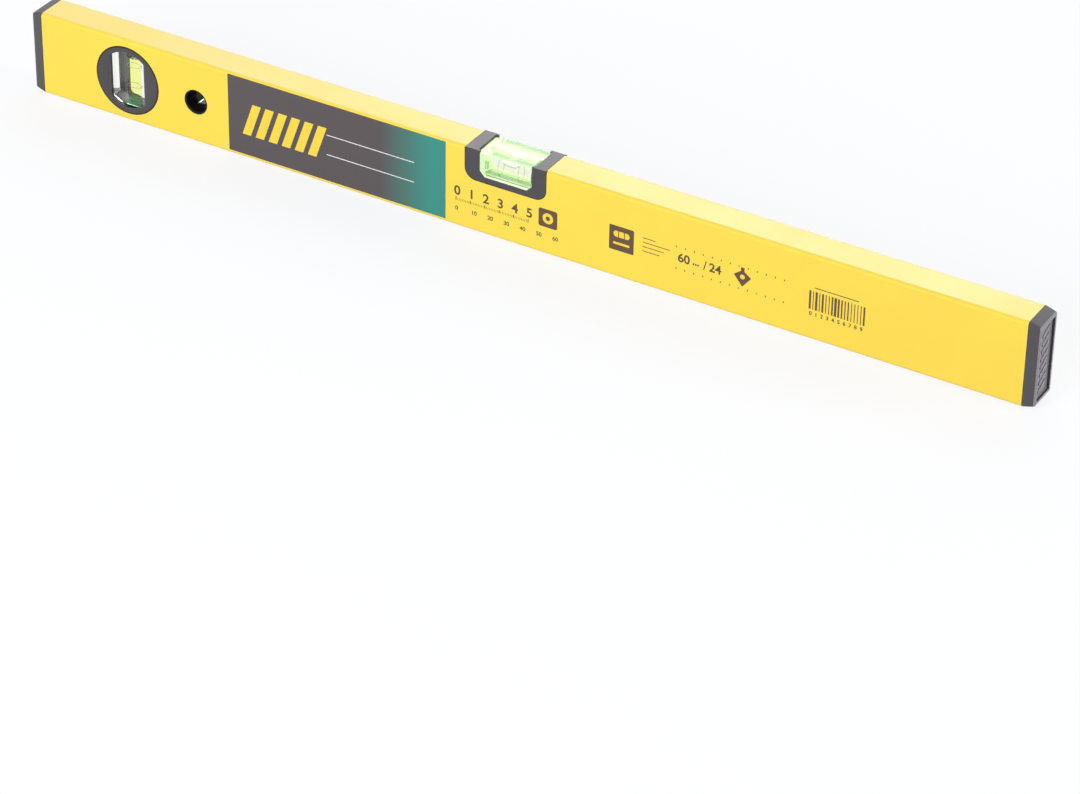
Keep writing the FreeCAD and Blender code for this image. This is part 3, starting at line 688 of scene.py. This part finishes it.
def studio():
    """Plain white surroundings, a pale floor that keeps the shadow, and four soft lamps (metres and watts)."""
    world = bpy.data.worlds.new("white surroundings")
    world.use_nodes = True
    tree = world.node_tree
    ground = fill(tree, tree.nodes["Background"], Color=(1.0, 1.0, 1.0), Strength=0.2)
    shown = node(tree, "Background", Color=(0.99, 0.99, 1.0), Strength=1.0)
    both = node(tree, "MixShader", Fac=seen_only(tree))
    for i, part in ((1, ground), (2, shown)):
        feed(tree, both.inputs[i], part.outputs[0])
    fill(tree, tree.nodes["World Output"], Surface=both.outputs[0])
    bpy.context.scene.world = world

    material = bpy.data.materials.new("pale floor")
    material.use_nodes = True
    tree = material.node_tree
    tree.nodes.remove(tree.nodes["Principled BSDF"])
    matt = node(tree, "BsdfDiffuse", Color=(0.18, 0.181, 0.184))
    shown = reckon(tree, "MULTIPLY", seen_only(tree), 0.84)
    glow = node(tree, "Emission", Color=(0.98, 0.985, 1.0), Strength=shown)
    total = node(tree, "AddShader")
    for i, part in enumerate((matt, glow)):
        feed(tree, total.inputs[i], part.outputs[0])
    fill(tree, tree.nodes["Material Output"], Surface=total.outputs[0])
    bm = bmesh.new()
    bmesh.ops.create_grid(bm, x_segments=8, y_segments=8, size=12.0)
    floor = put("floor", mesh_of(bm, "floor", closed=False))
    floor.location = (0.0, 0.0, -0.0002)
    wear(floor, material)

    softbox("rear light", (-0.55, 1.8, 1.35), (0.0, 0.0, 0.0), 2.5, 2.0, 30.0)
    sheen = softbox("sheen light", (-0.37, 1.155, 0.88), (0.3, 0.0, 0.05), 0.8, 0.8, 4.2)
    sheen.visible_diffuse = False  # a pale sheen that grows towards the right end of the top face
    front = softbox("front light", (-0.35, -2.2, 0.75), (0.0, 0.0, 0.0), 2.0, 1.2, 63.0)
    front.visible_glossy = False  # it lights the front face and leaves no bright line on the rounded edge
    softbox("right light", (2.2, 0.7, 0.65), (0.3, 0.0, 0.0), 1.0, 1.0, 32.0)
    bpy.context.scene.view_settings.view_transform = "Standard"


# Beam

def beam():
    """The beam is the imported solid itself."""
    wear(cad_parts["beam_profile"], YELLOW)


# End caps

def end_cap(side, name, node_name):
    """A cap drawn outward from its joint, and the fine ribs on its sunk panel."""
    joint = HALF_LENGTH

    def section(reach, width, height, radius):
        """The cap's outline at one distance from the joint."""
        return [(side * (joint + reach), side * y, HALF_HEIGHT + z)
                for y, z in round_box(width, height, radius)]

    plug, plug_end = (15.1, 46.0, 0.5), -16.0
    hollow = (plug[0] - 3.2, plug[1] - 3.2, 0.3)
    rows = [(0.0, *hollow), (plug_end, *hollow), (plug_end, *plug), (0.0, *plug), (0.0, 20.1, 49.6, 1.8),
            (0.12, 20.5, 50.0, 2.0), (3.0, 19.7, 48.4, 1.4), (5.75, 18.85, 46.7, 1.0),
            (6.05, 18.65, 46.5, 0.95), (6.3, 18.25, 46.1, 0.9), (6.45, 17.75, 45.6, 0.8),
            (6.5, 17.2, 45.05, 0.7), (6.5, 15.3, 43.2, 0.7), (6.4, 15.1, 43.0, 0.65), (5.1, 15.0, 42.9, 0.6)]
    cap = skinned(name, [section(*row) for row in rows])
    wear(cap, CAP_PLASTIC, PANEL_PLASTIC_LIT, CAP_EDGE_HIGHLIGHT)
    for face in cap.data.polygons:
        reach = side * face.center.x / MM - joint
        # the end face and its ribs take a lighter copy of the cap plastic: painted light from the right lamp
        if reach > 6.46 or 5.0 < reach < 5.2:  # the rim's flat end and the sunk panel
            face.material_index = 1
        # the soft edge round the rim takes a light copy of the cap plastic: a painted highlight line
        elif reach > 5.8 and face.normal.x * side > 0.1:  # the soft edge round the rim
            face.material_index = 2
    settle(cap, "beam", "cap_plastic", node_name)
    ribs = bars(name + "_ribs", 8, (side * (joint + 5.25), 0.0, 9.0), (0.0, 0.0, 4.6), (0.7, 7.6, 1.5),
                PANEL_PLASTIC_LIT, along=(0, 1, 0), lean=(0, 0, side * 0.45), edge=0.15)
    settle(ribs, "beam", "cap_plastic")


# Level vial

def frame_foot(grow=0.0):
    """The right half of the frame's outer line, from its foot to its top, grown outward by a little."""
    outer, base, corner = FRAME_HALF + grow, 31.6 - grow, 6.5 + grow
    return arc_points((outer - corner, base + corner), corner, -90, 0, 12) + [(outer, 49.95)]


def frame_outline(grow):
    """The frame's outer line from its top left round its foot to its top right."""
    right = frame_foot(grow)
    return [(LEVEL_X - x, z) for x, z in reversed(right)] + [(LEVEL_X + x, z) for x, z in right]


def vial_frame():
    """U-shaped frame of the level vial, with a pocket for the block and hollow arms."""
    window_floor, window, slope = 34.8, 15.8, 3.0
    right = frame_foot()[:-1]
    right += [(FRAME_HALF, BEAM_HEIGHT), (window, BEAM_HEIGHT), (window, window_floor + slope),
              (window - slope, window_floor)]
    left = [(-x, z) for x, z in reversed(right)]
    outline = [(LEVEL_X + x, z) for x, z in right + left]
    body = slab("vial_frame", outline, -FACE, FACE)
    half, depth, foot = BLOCK_HALF + 0.1, BLOCK_DEPTH + 0.1, BLOCK_BASE - 0.1
    pocket = block_between("pocket", (LEVEL_X - half, -depth, foot), (LEVEL_X + half, depth, 52.0))
    cores = [block_between("core", (LEVEL_X + low, -depth, 30.0), (LEVEL_X + high, depth, 48.5))
             for low, high in ((18.6, 23.0), (-23.0, -18.6))]
    carve(body, pocket, *cores)
    rounded(body, 0.5, 4)
    wear(body, FRAME_PLASTIC)
    settle(body, "beam", "frame_plastic", "level_vial_frame")


def barrel_profile(radius, bulge, length, gap):
    """The half section of a barrel-shaped filling with softly rounded ends."""
    half, end, soft, steps = length / 2 - gap, radius - bulge - gap, 0.4, 12
    points = [(0.001, -half)]
    points += arc_points((end - soft, soft - half), soft, -90, 0, 6)
    for i in range(1, steps):
        reach = (-half + soft) + (2 * (half - soft)) * i / steps
        points.append((end + bulge * (1 - (reach / half) ** 2), reach))
    points += arc_points((end - soft, half - soft), soft, 0, 90, 6)
    return points + [(0.001, half)]


def lens_bubble(radius, length, width, depth):
    """A lying bubble, about the bore's axis: its top follows the bore, its underside is a shallow bowl."""
    rings, steps, sag = 14, 48, 0.25
    top, under = [], []
    for ring in range(rings + 1):
        share = math.sin(math.pi / 2 * ring / rings)
        upper, lower = [], []
        for step in range(steps):
            angle = 2 * math.pi * step / steps
            x, y = (reach / 2 * share * math.copysign(abs(part) ** 0.8, part)
                    for reach, part in ((length, math.cos(angle)), (width, math.sin(angle))))
            crown = math.sqrt(max(radius ** 2 - y ** 2, 0.0))
            swell = math.sqrt(max(0.0, 1 - share ** 2))
            upper.append((x, y, crown - sag * (1 - swell)))
            lower.append((x, y, crown - sag - (depth - sag) * swell ** 0.8))
        top.append(upper)
        under.append(lower)
    return under[1:] + top[1:-1][::-1]


def dome_bubble(radius, height):
    """The gas at the top of an upright bore: flat crown, and an underside that climbs the wall at its edge."""
    wall = height * 0.52
    profile = [(0.001, 0.0), (radius - 0.5, 0.0), (radius - 0.15, -0.12), (radius, -0.45), (radius, -wall)]
    for degrees in range(10, 91, 10):
        angle = math.radians(degrees)
        profile.append((radius * math.cos(angle), -wall - (height - wall) * math.sin(angle) ** 1.4))
    profile[-1] = (0.001, -height)
    return profile


def vial_pieces(name, place, axis, radius, bulge, length, plug_side, first_ring, second_ring, tint):
    """Liquid, marking rings and plug of one vial."""
    liquid = skinned(name + "_liquid", turned(barrel_profile(radius, bulge, length, 0.05), place, axis))
    settle(wear(liquid, tint), "beam", "vial_liquid", name + "_vial_fluid")
    for node_name, centre in ((first_ring, -RING_OFFSET), (second_ring, RING_OFFSET)):
        half, inner, outer = RING_WIDTH / 2, radius - 0.02, radius + 0.28
        low, high, cut = centre - half, centre + half, 0.1
        section = [(inner, low), (outer - cut, low), (outer, low + cut), (outer, high - cut),
                   (outer - cut, high), (inner, high)]
        ring = skinned(node_name + "_band", turned(section, place, axis), ring=True)
        settle(wear(ring, RING_BLACK), "beam", "ring_black", node_name)
    start = plug_side * (length / 2 + 0.02)
    end = plug_side * (length / 2 + PLUG_THICKNESS - 0.05)
    outer = radius - bulge - 0.05
    section = [(0.001, start), (outer - 0.15, start), (outer, start + plug_side * 0.15),
               (outer, end - plug_side * 0.3), (outer - 0.3, end), (0.001, end)]
    plug = skinned(name + "_plug", turned(section, place, axis))
    settle(wear(plug, PLUG_ACRYLIC), "beam", "plug_acrylic", name + "_vial_plug")


def plates(name, material, slot, boxes, edge=0.015):
    """Thin plates between pairs of corners, as one piece on the beam."""
    made = [rounded(wear(block_between(f"{name}_{i}", low, high), material), edge, 1)
            for i, (low, high) in enumerate(boxes)]
    return settle(joined(name, made), "beam", slot)


def vial_outline(half, base, top, chamfer):
    """The block's outline in the XZ plane: flat top, chamfered foot."""
    points = [(-half, top), (-half, base + chamfer), (chamfer - half, base), (half - chamfer, base),
              (half, base + chamfer), (half, top)]
    return [(LEVEL_X + x, z) for x, z in points]


def level_seal():
    """The seal presses on the block's foot, its ends, its shoulders and the rims of its two panes."""
    left, right, base, top, depth = LEVEL_X - BLOCK_HALF, LEVEL_X + BLOCK_HALF, BLOCK_BASE, 48.3, BLOCK_DEPTH
    under, over = base - SKIN, base + SKIN
    shoe_end, shoe_front, shoe_back = 2.4, -3.5, -2.1
    arm_front, arm_back, arm_top = 3.0, 7.0, 39.5
    plates("level_seal", SEAL, "cast_resin", [
        ((left, -depth, under), (right, shoe_front, over)),
        ((left, shoe_front, under), (left + shoe_end, shoe_back, over)),
        ((right - shoe_end, shoe_front, under), (right, shoe_back, over)),
        ((right - SKIN, -depth, base), (right + SKIN, depth, top)),
        ((left - SKIN, -depth, base), (left + SKIN, arm_front, top)),
        ((left - SKIN, arm_front, arm_top), (left + SKIN, arm_back, top)),
        ((left - SKIN, arm_back, base), (left + SKIN, depth, top))])

    shoulder = (vial_outline(BLOCK_HALF, base, top, BLOCK_CUT)
                + vial_outline(PANE_HALF, PANE_FOOT, top, PANE_CUT)[::-1])
    shoulders = [wear(slab(f"shoulder_{i}", shoulder, face - SKIN, face + SKIN), SEAL)
                 for i, face in enumerate((-depth, depth))]
    thin = 0.035
    for i, side in enumerate((-1, 1)):
        end = LEVEL_X + side * BLOCK_HALF
        strip = [(end + side * thin, base + BLOCK_CUT - thin), (end - side * (BLOCK_CUT - thin), base - thin),
                 (end - side * (BLOCK_CUT + thin), base + thin), (end - side * thin, base + BLOCK_CUT + thin)]
        shoulders.append(wear(slab(f"foot_{i}", strip, -depth, depth), SEAL))
    settle(joined("level_shoulders", shoulders), "beam", "cast_resin")

    strip = (vial_outline(PANE_HALF + SKIN, PANE_FOOT - SKIN, top, PANE_CUT)
             + vial_outline(PANE_HALF - SKIN, PANE_FOOT + SKIN, top, PANE_CUT)[::-1])
    rims = [wear(slab(f"rim_{i}", strip, low, high), SEAL)
            for i, (low, high) in enumerate(((-9.9, -depth), (depth, 9.9)))]
    settle(joined("level_rims", rims), "beam", "cast_resin")

    # the cushion plates are darker copies of the seal: painted shade under the block and by the left arm
    plates("level_cushion", SEAL_SHADE, "cast_resin", [((left, shoe_back, under), (right, depth, over))])
    plates("level_cushion_arm", SEAL_ARM_SHADE, "cast_resin",
           [((left - SKIN, arm_front, base), (left + SKIN, arm_back, arm_top))])
    plates("level_shoe", FRAME_PLASTIC, "frame_plastic",
           [((left + shoe_end, shoe_front, under), (right - shoe_end, shoe_back, over))])


def level_vial():
    """The clear block with its two panes, what holds it, and its filling."""
    pane = vial_outline(PANE_HALF, PANE_FOOT, 48.55, PANE_CUT)
    body = vial_outline(BLOCK_HALF, BLOCK_BASE, 48.6, BLOCK_CUT)
    loops = [[(x, reach, z) for x, z in outline] for outline, reach in
             ((pane, -9.95), (pane, -BLOCK_DEPTH), (body, -BLOCK_DEPTH), (body, BLOCK_DEPTH),
              (pane, BLOCK_DEPTH), (pane, 9.95))]
    block = skinned("level_block", loops)
    rounded(block, 0.3, 3)
    wear(block, LEVEL_ACRYLIC)
    settle(block, "beam", "clear_acrylic", "level_vial_block")
    level_seal()
    place = (LEVEL_X, 0.0, LEVEL_Z)
    vial_pieces("level", place, "X", LEVEL_BORE, 0.15, LEVEL_BORE_LENGTH, 1, "level_ring_left",
                "level_ring_right", LEVEL_LIQUID)
    bubble = skinned("level_gas", [[Vector(place) + Vector(point) for point in loop]
                                   for loop in lens_bubble(LEVEL_BORE - 0.25, 10.8, 6.4, 3.0)])
    settle(wear(bubble, GAS), "level_bubble", "bubble_gas", "level_bubble")


# Plumb vial

def window_loop(radius, half_width, reach, steps=LOOP_STEPS):
    """A round opening with flat sides, or a full circle where it is narrower than its flats."""
    quarter = steps // 4
    cut = half_width < radius
    corner = math.degrees(math.acos(half_width / radius)) if cut else 50.0
    loop = []
    for centre, arc in ((0, False), (90, True), (180, False), (270, True)):
        span = 90 - corner if arc else corner
        for i in range(quarter):
            angle = math.radians(centre - span + 2 * span * i / quarter)
            distance = radius if arc or not cut else half_width / abs(math.cos(angle))
            loop.append((PLUMB_X + distance * math.cos(angle), reach, HALF_HEIGHT + distance * math.sin(angle)))
    return loop


def bezel(name, side, has_spigot, node_name):
    """One half of the drum: a flange set in the wall, a window with flat sides and a pocket for the block."""
    full = 99.0  # wider than any radius here, so the loop is a full circle
    proud, pocket_radius, pocket_half = 10.4, 17.6, 11.6
    window = 11.2 if side < 0 else 9.2
    lap_radius, lap = (18.5, 1.2) if has_spigot else (18.55, -1.3)
    loops = [(lap_radius, full, lap), (lap_radius, full, 0.0), (19.4, full, 0.0), (19.4, full, -8.95),
             (20.15, full, -8.95), (20.15, full, -10.1), (20.06, full, -10.28), (19.9, full, -10.38),
             (19.6, full, -proud), (18.25, full, -proud), (17.2, window, -10.34), (17.0, window - 0.2, -10.24),
             (16.9, window - 0.3, -10.0), (17.4, window + 0.35, -8.05), (pocket_radius, pocket_half, -8.05),
             (pocket_radius, pocket_half, lap)]
    shaped = [window_loop(radius, half, side * -reach) for radius, half, reach in loops]
    made = skinned(name, shaped, ring=True)
    wear(made, FRAME_PLASTIC, RIM_SHADE)
    for face in made.data.polygons:
        across, up = face.center.x / MM - PLUMB_X, face.center.z / MM - HALF_HEIGHT
        # the flange's outer edge is painted dark brown: painted shade of the gap round the drum
        if math.hypot(across, up) > 19.7:
            face.material_index = 1
    settle(made, "beam", "frame_plastic", node_name)


def plumb_seats(outline):
    """Thin seats that hold the block by the rear half of its curved ends."""
    def pushed(point, reach):
        """The point moved out from the drum's axis."""
        x, z = point[0] - PLUMB_X, point[1] - HALF_HEIGHT
        scale = 1 + reach / math.hypot(x, z)
        return (PLUMB_X + x * scale, HALF_HEIGHT + z * scale)

    seats = []
    for name, side in (("seat_upper", 1), ("seat_lower", -1)):
        line = sorted(point for point in outline if side * (point[1] - HALF_HEIGHT) > 12.0)
        strip = [pushed(point, -SKIN) for point in line] + [pushed(point, SKIN) for point in reversed(line)]
        seats.append(wear(slab(name, strip, -6.6, 7.9), FRAME_PLASTIC))
    settle(joined("plumb_seats", seats), "beam", "frame_plastic")


def plumb_vial():
    """The drum, the clear block with its curved ends, its seats and its filling."""
    bezel("bezel_front", -1, True, "plumb_bezel_front")
    bezel("bezel_rear", 1, False, "plumb_bezel_rear")
    flat, end, radius = 11.5, 16.5, 17.5
    first, last = math.degrees(math.acos(flat / radius)), math.degrees(math.asin(end / radius))
    outline = []
    for start, stop in ((first, last), (180 - last, 180 - first), (180 + first, 180 + last),
                        (360 - last, 360 - first)):
        outline += arc_points((PLUMB_X, HALF_HEIGHT), radius, start, stop, 8)
    block = slab("plumb_block", outline, -7.95, 7.95)
    rounded(block, 0.2, 2)
    wear(block, ACRYLIC)
    settle(block, "beam", "clear_acrylic", "plumb_vial_block")
    plumb_seats(outline)
    place = (PLUMB_X, 0.0, HALF_HEIGHT)
    vial_pieces("plumb", place, "Z", PLUMB_BORE, 0.12, PLUMB_BORE_LENGTH, -1, "plumb_ring_lower",
                "plumb_ring_upper", PLUMB_LIQUID)
    crown = (PLUMB_X, 0.0, HALF_HEIGHT + PLUMB_BORE_LENGTH / 2 - 0.06)
    bubble = skinned("plumb_gas", turned(dome_bubble(4.3, 2.5), crown, "Z"))
    settle(wear(bubble, GAS), "plumb_bubble", "bubble_gas", "plumb_bubble")


# Hanging hole

def sleeves():
    """Two lapped sleeves with a soft mouth."""
    place = (HANG_X, 0.0, HALF_HEIGHT)
    mouth = [(7.2, 10.25), (7.12, 10.36), (7.0, 10.4), (6.88, 10.36), (6.65, 10.2), (6.4, 9.85), (6.15, 9.3),
             (6.0, 8.5)]
    for name, side, end, lap in (("sleeve_front", -1, 1.5, 6.625), ("sleeve_rear", 1, -1.5, 6.575)):
        inner = [(6.0, end), (lap, end), (lap, -end), (7.2, -end)]
        profile = [(radius, side * reach) for radius, reach in mouth + inner]
        made = skinned(name, turned(profile, place, "Y"), ring=True)
        settle(wear(made, LINING), "beam", "sleeve_plastic", "hang_" + name)


# Shadow lines at the joints

def flat_band(name, inner, outer, side, closed=True):
    """A thin flat band between two lines on one side face."""
    sunk, proud = side * (FACE - 0.1), side * (FACE + 0.015)
    loops = [[(x, reach, z) for x, z in line]
             for line, reach in ((inner, sunk), (outer, sunk), (outer, proud), (inner, proud))]
    if not closed:
        loops = [list(row) for row in zip(*loops)]
    return wear(skinned(name, loops, ring=closed), JOINT_SHADOW)


def circle(x, z, radius, steps=LOOP_STEPS):
    """Points round a circle."""
    return arc_points((x, z), radius, 0, 360 - 360 / steps, steps - 1)


def joint_lines():
    """Painted shadow lines round the drum, the hole and the notch, and where each cap meets the beam."""
    parts = []
    for side in (-1, 1):
        for name, x, inner, outer in (("drum", PLUMB_X, 20.1, 20.65), ("hole", HANG_X, 7.15, 7.4)):
            edges = (circle(x, HALF_HEIGHT, radius) for radius in (inner, outer))
            parts.append(flat_band(f"{name}{side}", *edges, side))
        parts.append(flat_band(f"notch{side}", frame_outline(-0.05), frame_outline(0.35), side, closed=False))
    for side in (-1, 1):
        loops = []
        for reach, grow in ((-0.3, -0.2), (-0.3, 0.015), (0.12, 0.015), (0.12, -0.2)):
            outline = round_box(BEAM_WIDTH + 2 * grow, BEAM_HEIGHT + 2 * grow, CORNER + grow, 14)
            loops.append([(side * (HALF_LENGTH + reach), y, HALF_HEIGHT + z) for y, z in outline])
        parts.append(wear(skinned(f"cap{side}", loops, ring=True), JOINT_SHADOW))
    settle(joined("joint_lines", parts), "beam", "frame_plastic")


# Label and prints

def label():
    """Foil over the front face, bent a little way round the top edge."""
    def strip(lift):
        """The foil's section at one height over the coating."""
        path = [(-FACE - lift, LABEL_BASE), (-FACE - lift, BEAM_HEIGHT - CORNER)]
        return path + arc_points((CORNER - FACE, BEAM_HEIGHT - CORNER), CORNER + lift, 170, 150, 2)

    outline = strip(0.005) + strip(0.1)[::-1]
    foil = slab("label_foil", outline, LABEL_START, LABEL_END, axis="X")
    settle(wear(foil, FOIL), "beam", "printed_foil", "front_label")


def printed(name, outline, material, lift=FACE):
    """A flat print on the front face."""
    return wear(slab(name, outline, -lift - INK_THICKNESS, -lift + 0.01), material)


def box(start, base, end, top):
    """A rectangle's outline."""
    return [(start, base), (end, base), (end, top), (start, top)]


def figures(name, text, x, z, height):
    """Plain figures on the front face, as a mesh."""
    data = bpy.data.curves.new(name, "FONT")
    data.body = text
    data.size = height * MM / 0.7
    data.extrude = INK_THICKNESS / 2 * MM
    data.offset = FIGURE_WEIGHT * height * MM
    data.align_x = "LEFT"
    data.align_y = "BOTTOM_BASELINE"
    thing = put(name, data)
    bpy.context.view_layer.update()
    made = bpy.data.meshes.new_from_object(thing.evaluated_get(bpy.context.evaluated_depsgraph_get()))
    bpy.data.objects.remove(thing)
    upright = Matrix.Rotation(math.pi / 2, 4, "X")
    made.transform(Matrix.Translation(metres((x, -FACE - INK_THICKNESS / 2, z))) @ upright)
    return wear(put(name, made), DARK_INK)


def tick_row(name, count, x, z, pitch, size, material, lift=FACE, **more):
    """A row of upright bars on the front face."""
    return bars(name, count, (x, -lift - INK_THICKNESS / 2, z), (pitch, 0.0, 0.0),
                (size[0], INK_THICKNESS * 1.5, size[1]), material, **more)


def face_prints():
    """Generic figures, ticks, pictograms and bars where the beam carries dark print."""
    ring_spot, sign_spot, bob_spot = (25.05, 22.05), (69.1, 26.2), (140.0, 24.2)
    second, third = FACE + INK_THICKNESS, FACE + 2 * INK_THICKNESS
    parts = [
        tick_row("ticks_small", 46, -31.0, 16.7, 0.98, (0.24, 1.4), DARK_INK),
        tick_row("ticks_tall", 6, -31.0, 17.0, 8.82, (0.5, 2.0), DARK_INK),
        printed("ring_plate", round_box(11.3, 10.9, 1.2, 4, ring_spot), DARK_INK),
        tick_row("rail_upper", 13, 101.5, 30.0, 5.2, (0.5, 1.0), DARK_INK),
        tick_row("rail_lower", 13, 101.5, 17.0, 5.2, (0.5, 1.0), DARK_INK),
        printed("sign_plate", round_box(14.6, 14.7, 0.6, 4, (69.1, 23.65)), DARK_INK),
        tick_row("code", 18, 178.8, 23.6, 1.80, (0.85, 11.0), DARK_INK, least=0.4, most=1.7, seed=4),
        printed("code_line", box(181.0, 31.0, 206.0, 31.5), DARK_INK),
        figures("length_metric", "60", 102.3, 21.5, 5.0),
        printed("length_bar", [(117.2, 21.0), (117.8, 21.0), (119.2, 26.6), (118.6, 26.6)], DARK_INK),
        figures("length_inches", "24", 120.6, 21.4, 5.0),
        tick_row("unit_marks", 3, 111.6, 22.6, 1.3, (0.8, 1.1), DARK_INK),
        printed("bob", [(140.0, 18.4), (145.0, 24.6), (141.0, 27.6), (141.0, 29.8), (139.0, 29.8),
                        (139.0, 27.6), (135.0, 24.6)], DARK_INK),
        printed("bob_eye", circle(*bob_spot, 1.4, 24), YELLOW_INK, second),
        printed("ring", circle(*ring_spot, 3.2, 32), YELLOW_INK, second),
        printed("ring_dot", circle(*ring_spot, 1.3, 24), DARK_INK, third),
        printed("vial_sign", round_box(9.6, 3.6, 1.7, 5, sign_spot), YELLOW_INK, second),
        tick_row("vial_sign_marks", 2, 67.4, sign_spot[1], 3.4, (0.5, 3.6), DARK_INK, lift=third),
        printed("vial_sign_base", round_box(9.6, 1.4, 0.3, 2, (69.1, 20.6)), YELLOW_INK, second),
    ]
    parts += [figures(f"big_{i}", str(i), -32.2 + 8.82 * i, 19.4, 5.4) for i in range(6)]
    parts += [figures(f"small_{i}", str(10 * i), -31.5 + 9.9 * i, 10.0, 2.4) for i in range(7)]
    parts += [figures(f"code_{i}", str(i), 178.6 + 3.2 * i, 14.6, 2.2) for i in range(10)]
    for i, end in enumerate((89.0, 97.5, 94.0, 91.5)):
        base = 28.6 - 2.6 * i
        parts.append(printed(f"line_{i}", box(81.6, base, end, base + 0.45), DARK_INK))
    settle(joined("face_prints", parts), "beam", "printed_foil")


def label_prints():
    """Slanted stripes and thin lines on the foil."""
    parts = [tick_row("stripes", 6, -160.0, 24.7, 8.4, (5.4, 19.6), YELLOW_INK, lift=LABEL_FACE,
                      lean=(0.35, 0, 0))]
    for name, base in (("upper_line", 30.2), ("lower_line", 18.2)):
        parts.append(printed(name, box(-112.0, base, -57.0, base + 0.5), WHITE_INK, LABEL_FACE))
    settle(joined("label_prints", parts), "beam", "printed_foil")


def resin_beds():
    """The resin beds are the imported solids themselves."""
    for name in ("level_resin_bed", "plumb_resin_left", "plumb_resin_right"):
        wear(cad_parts[name], RESIN)


camera()
studio()
beam()
end_cap(-1, "cap_left", "end_cap_left")
end_cap(1, "cap_right", "end_cap_right")
vial_frame()
level_vial()
plumb_vial()
sleeves()
joint_lines()
label()
face_prints()
label_prints()
resin_beds()
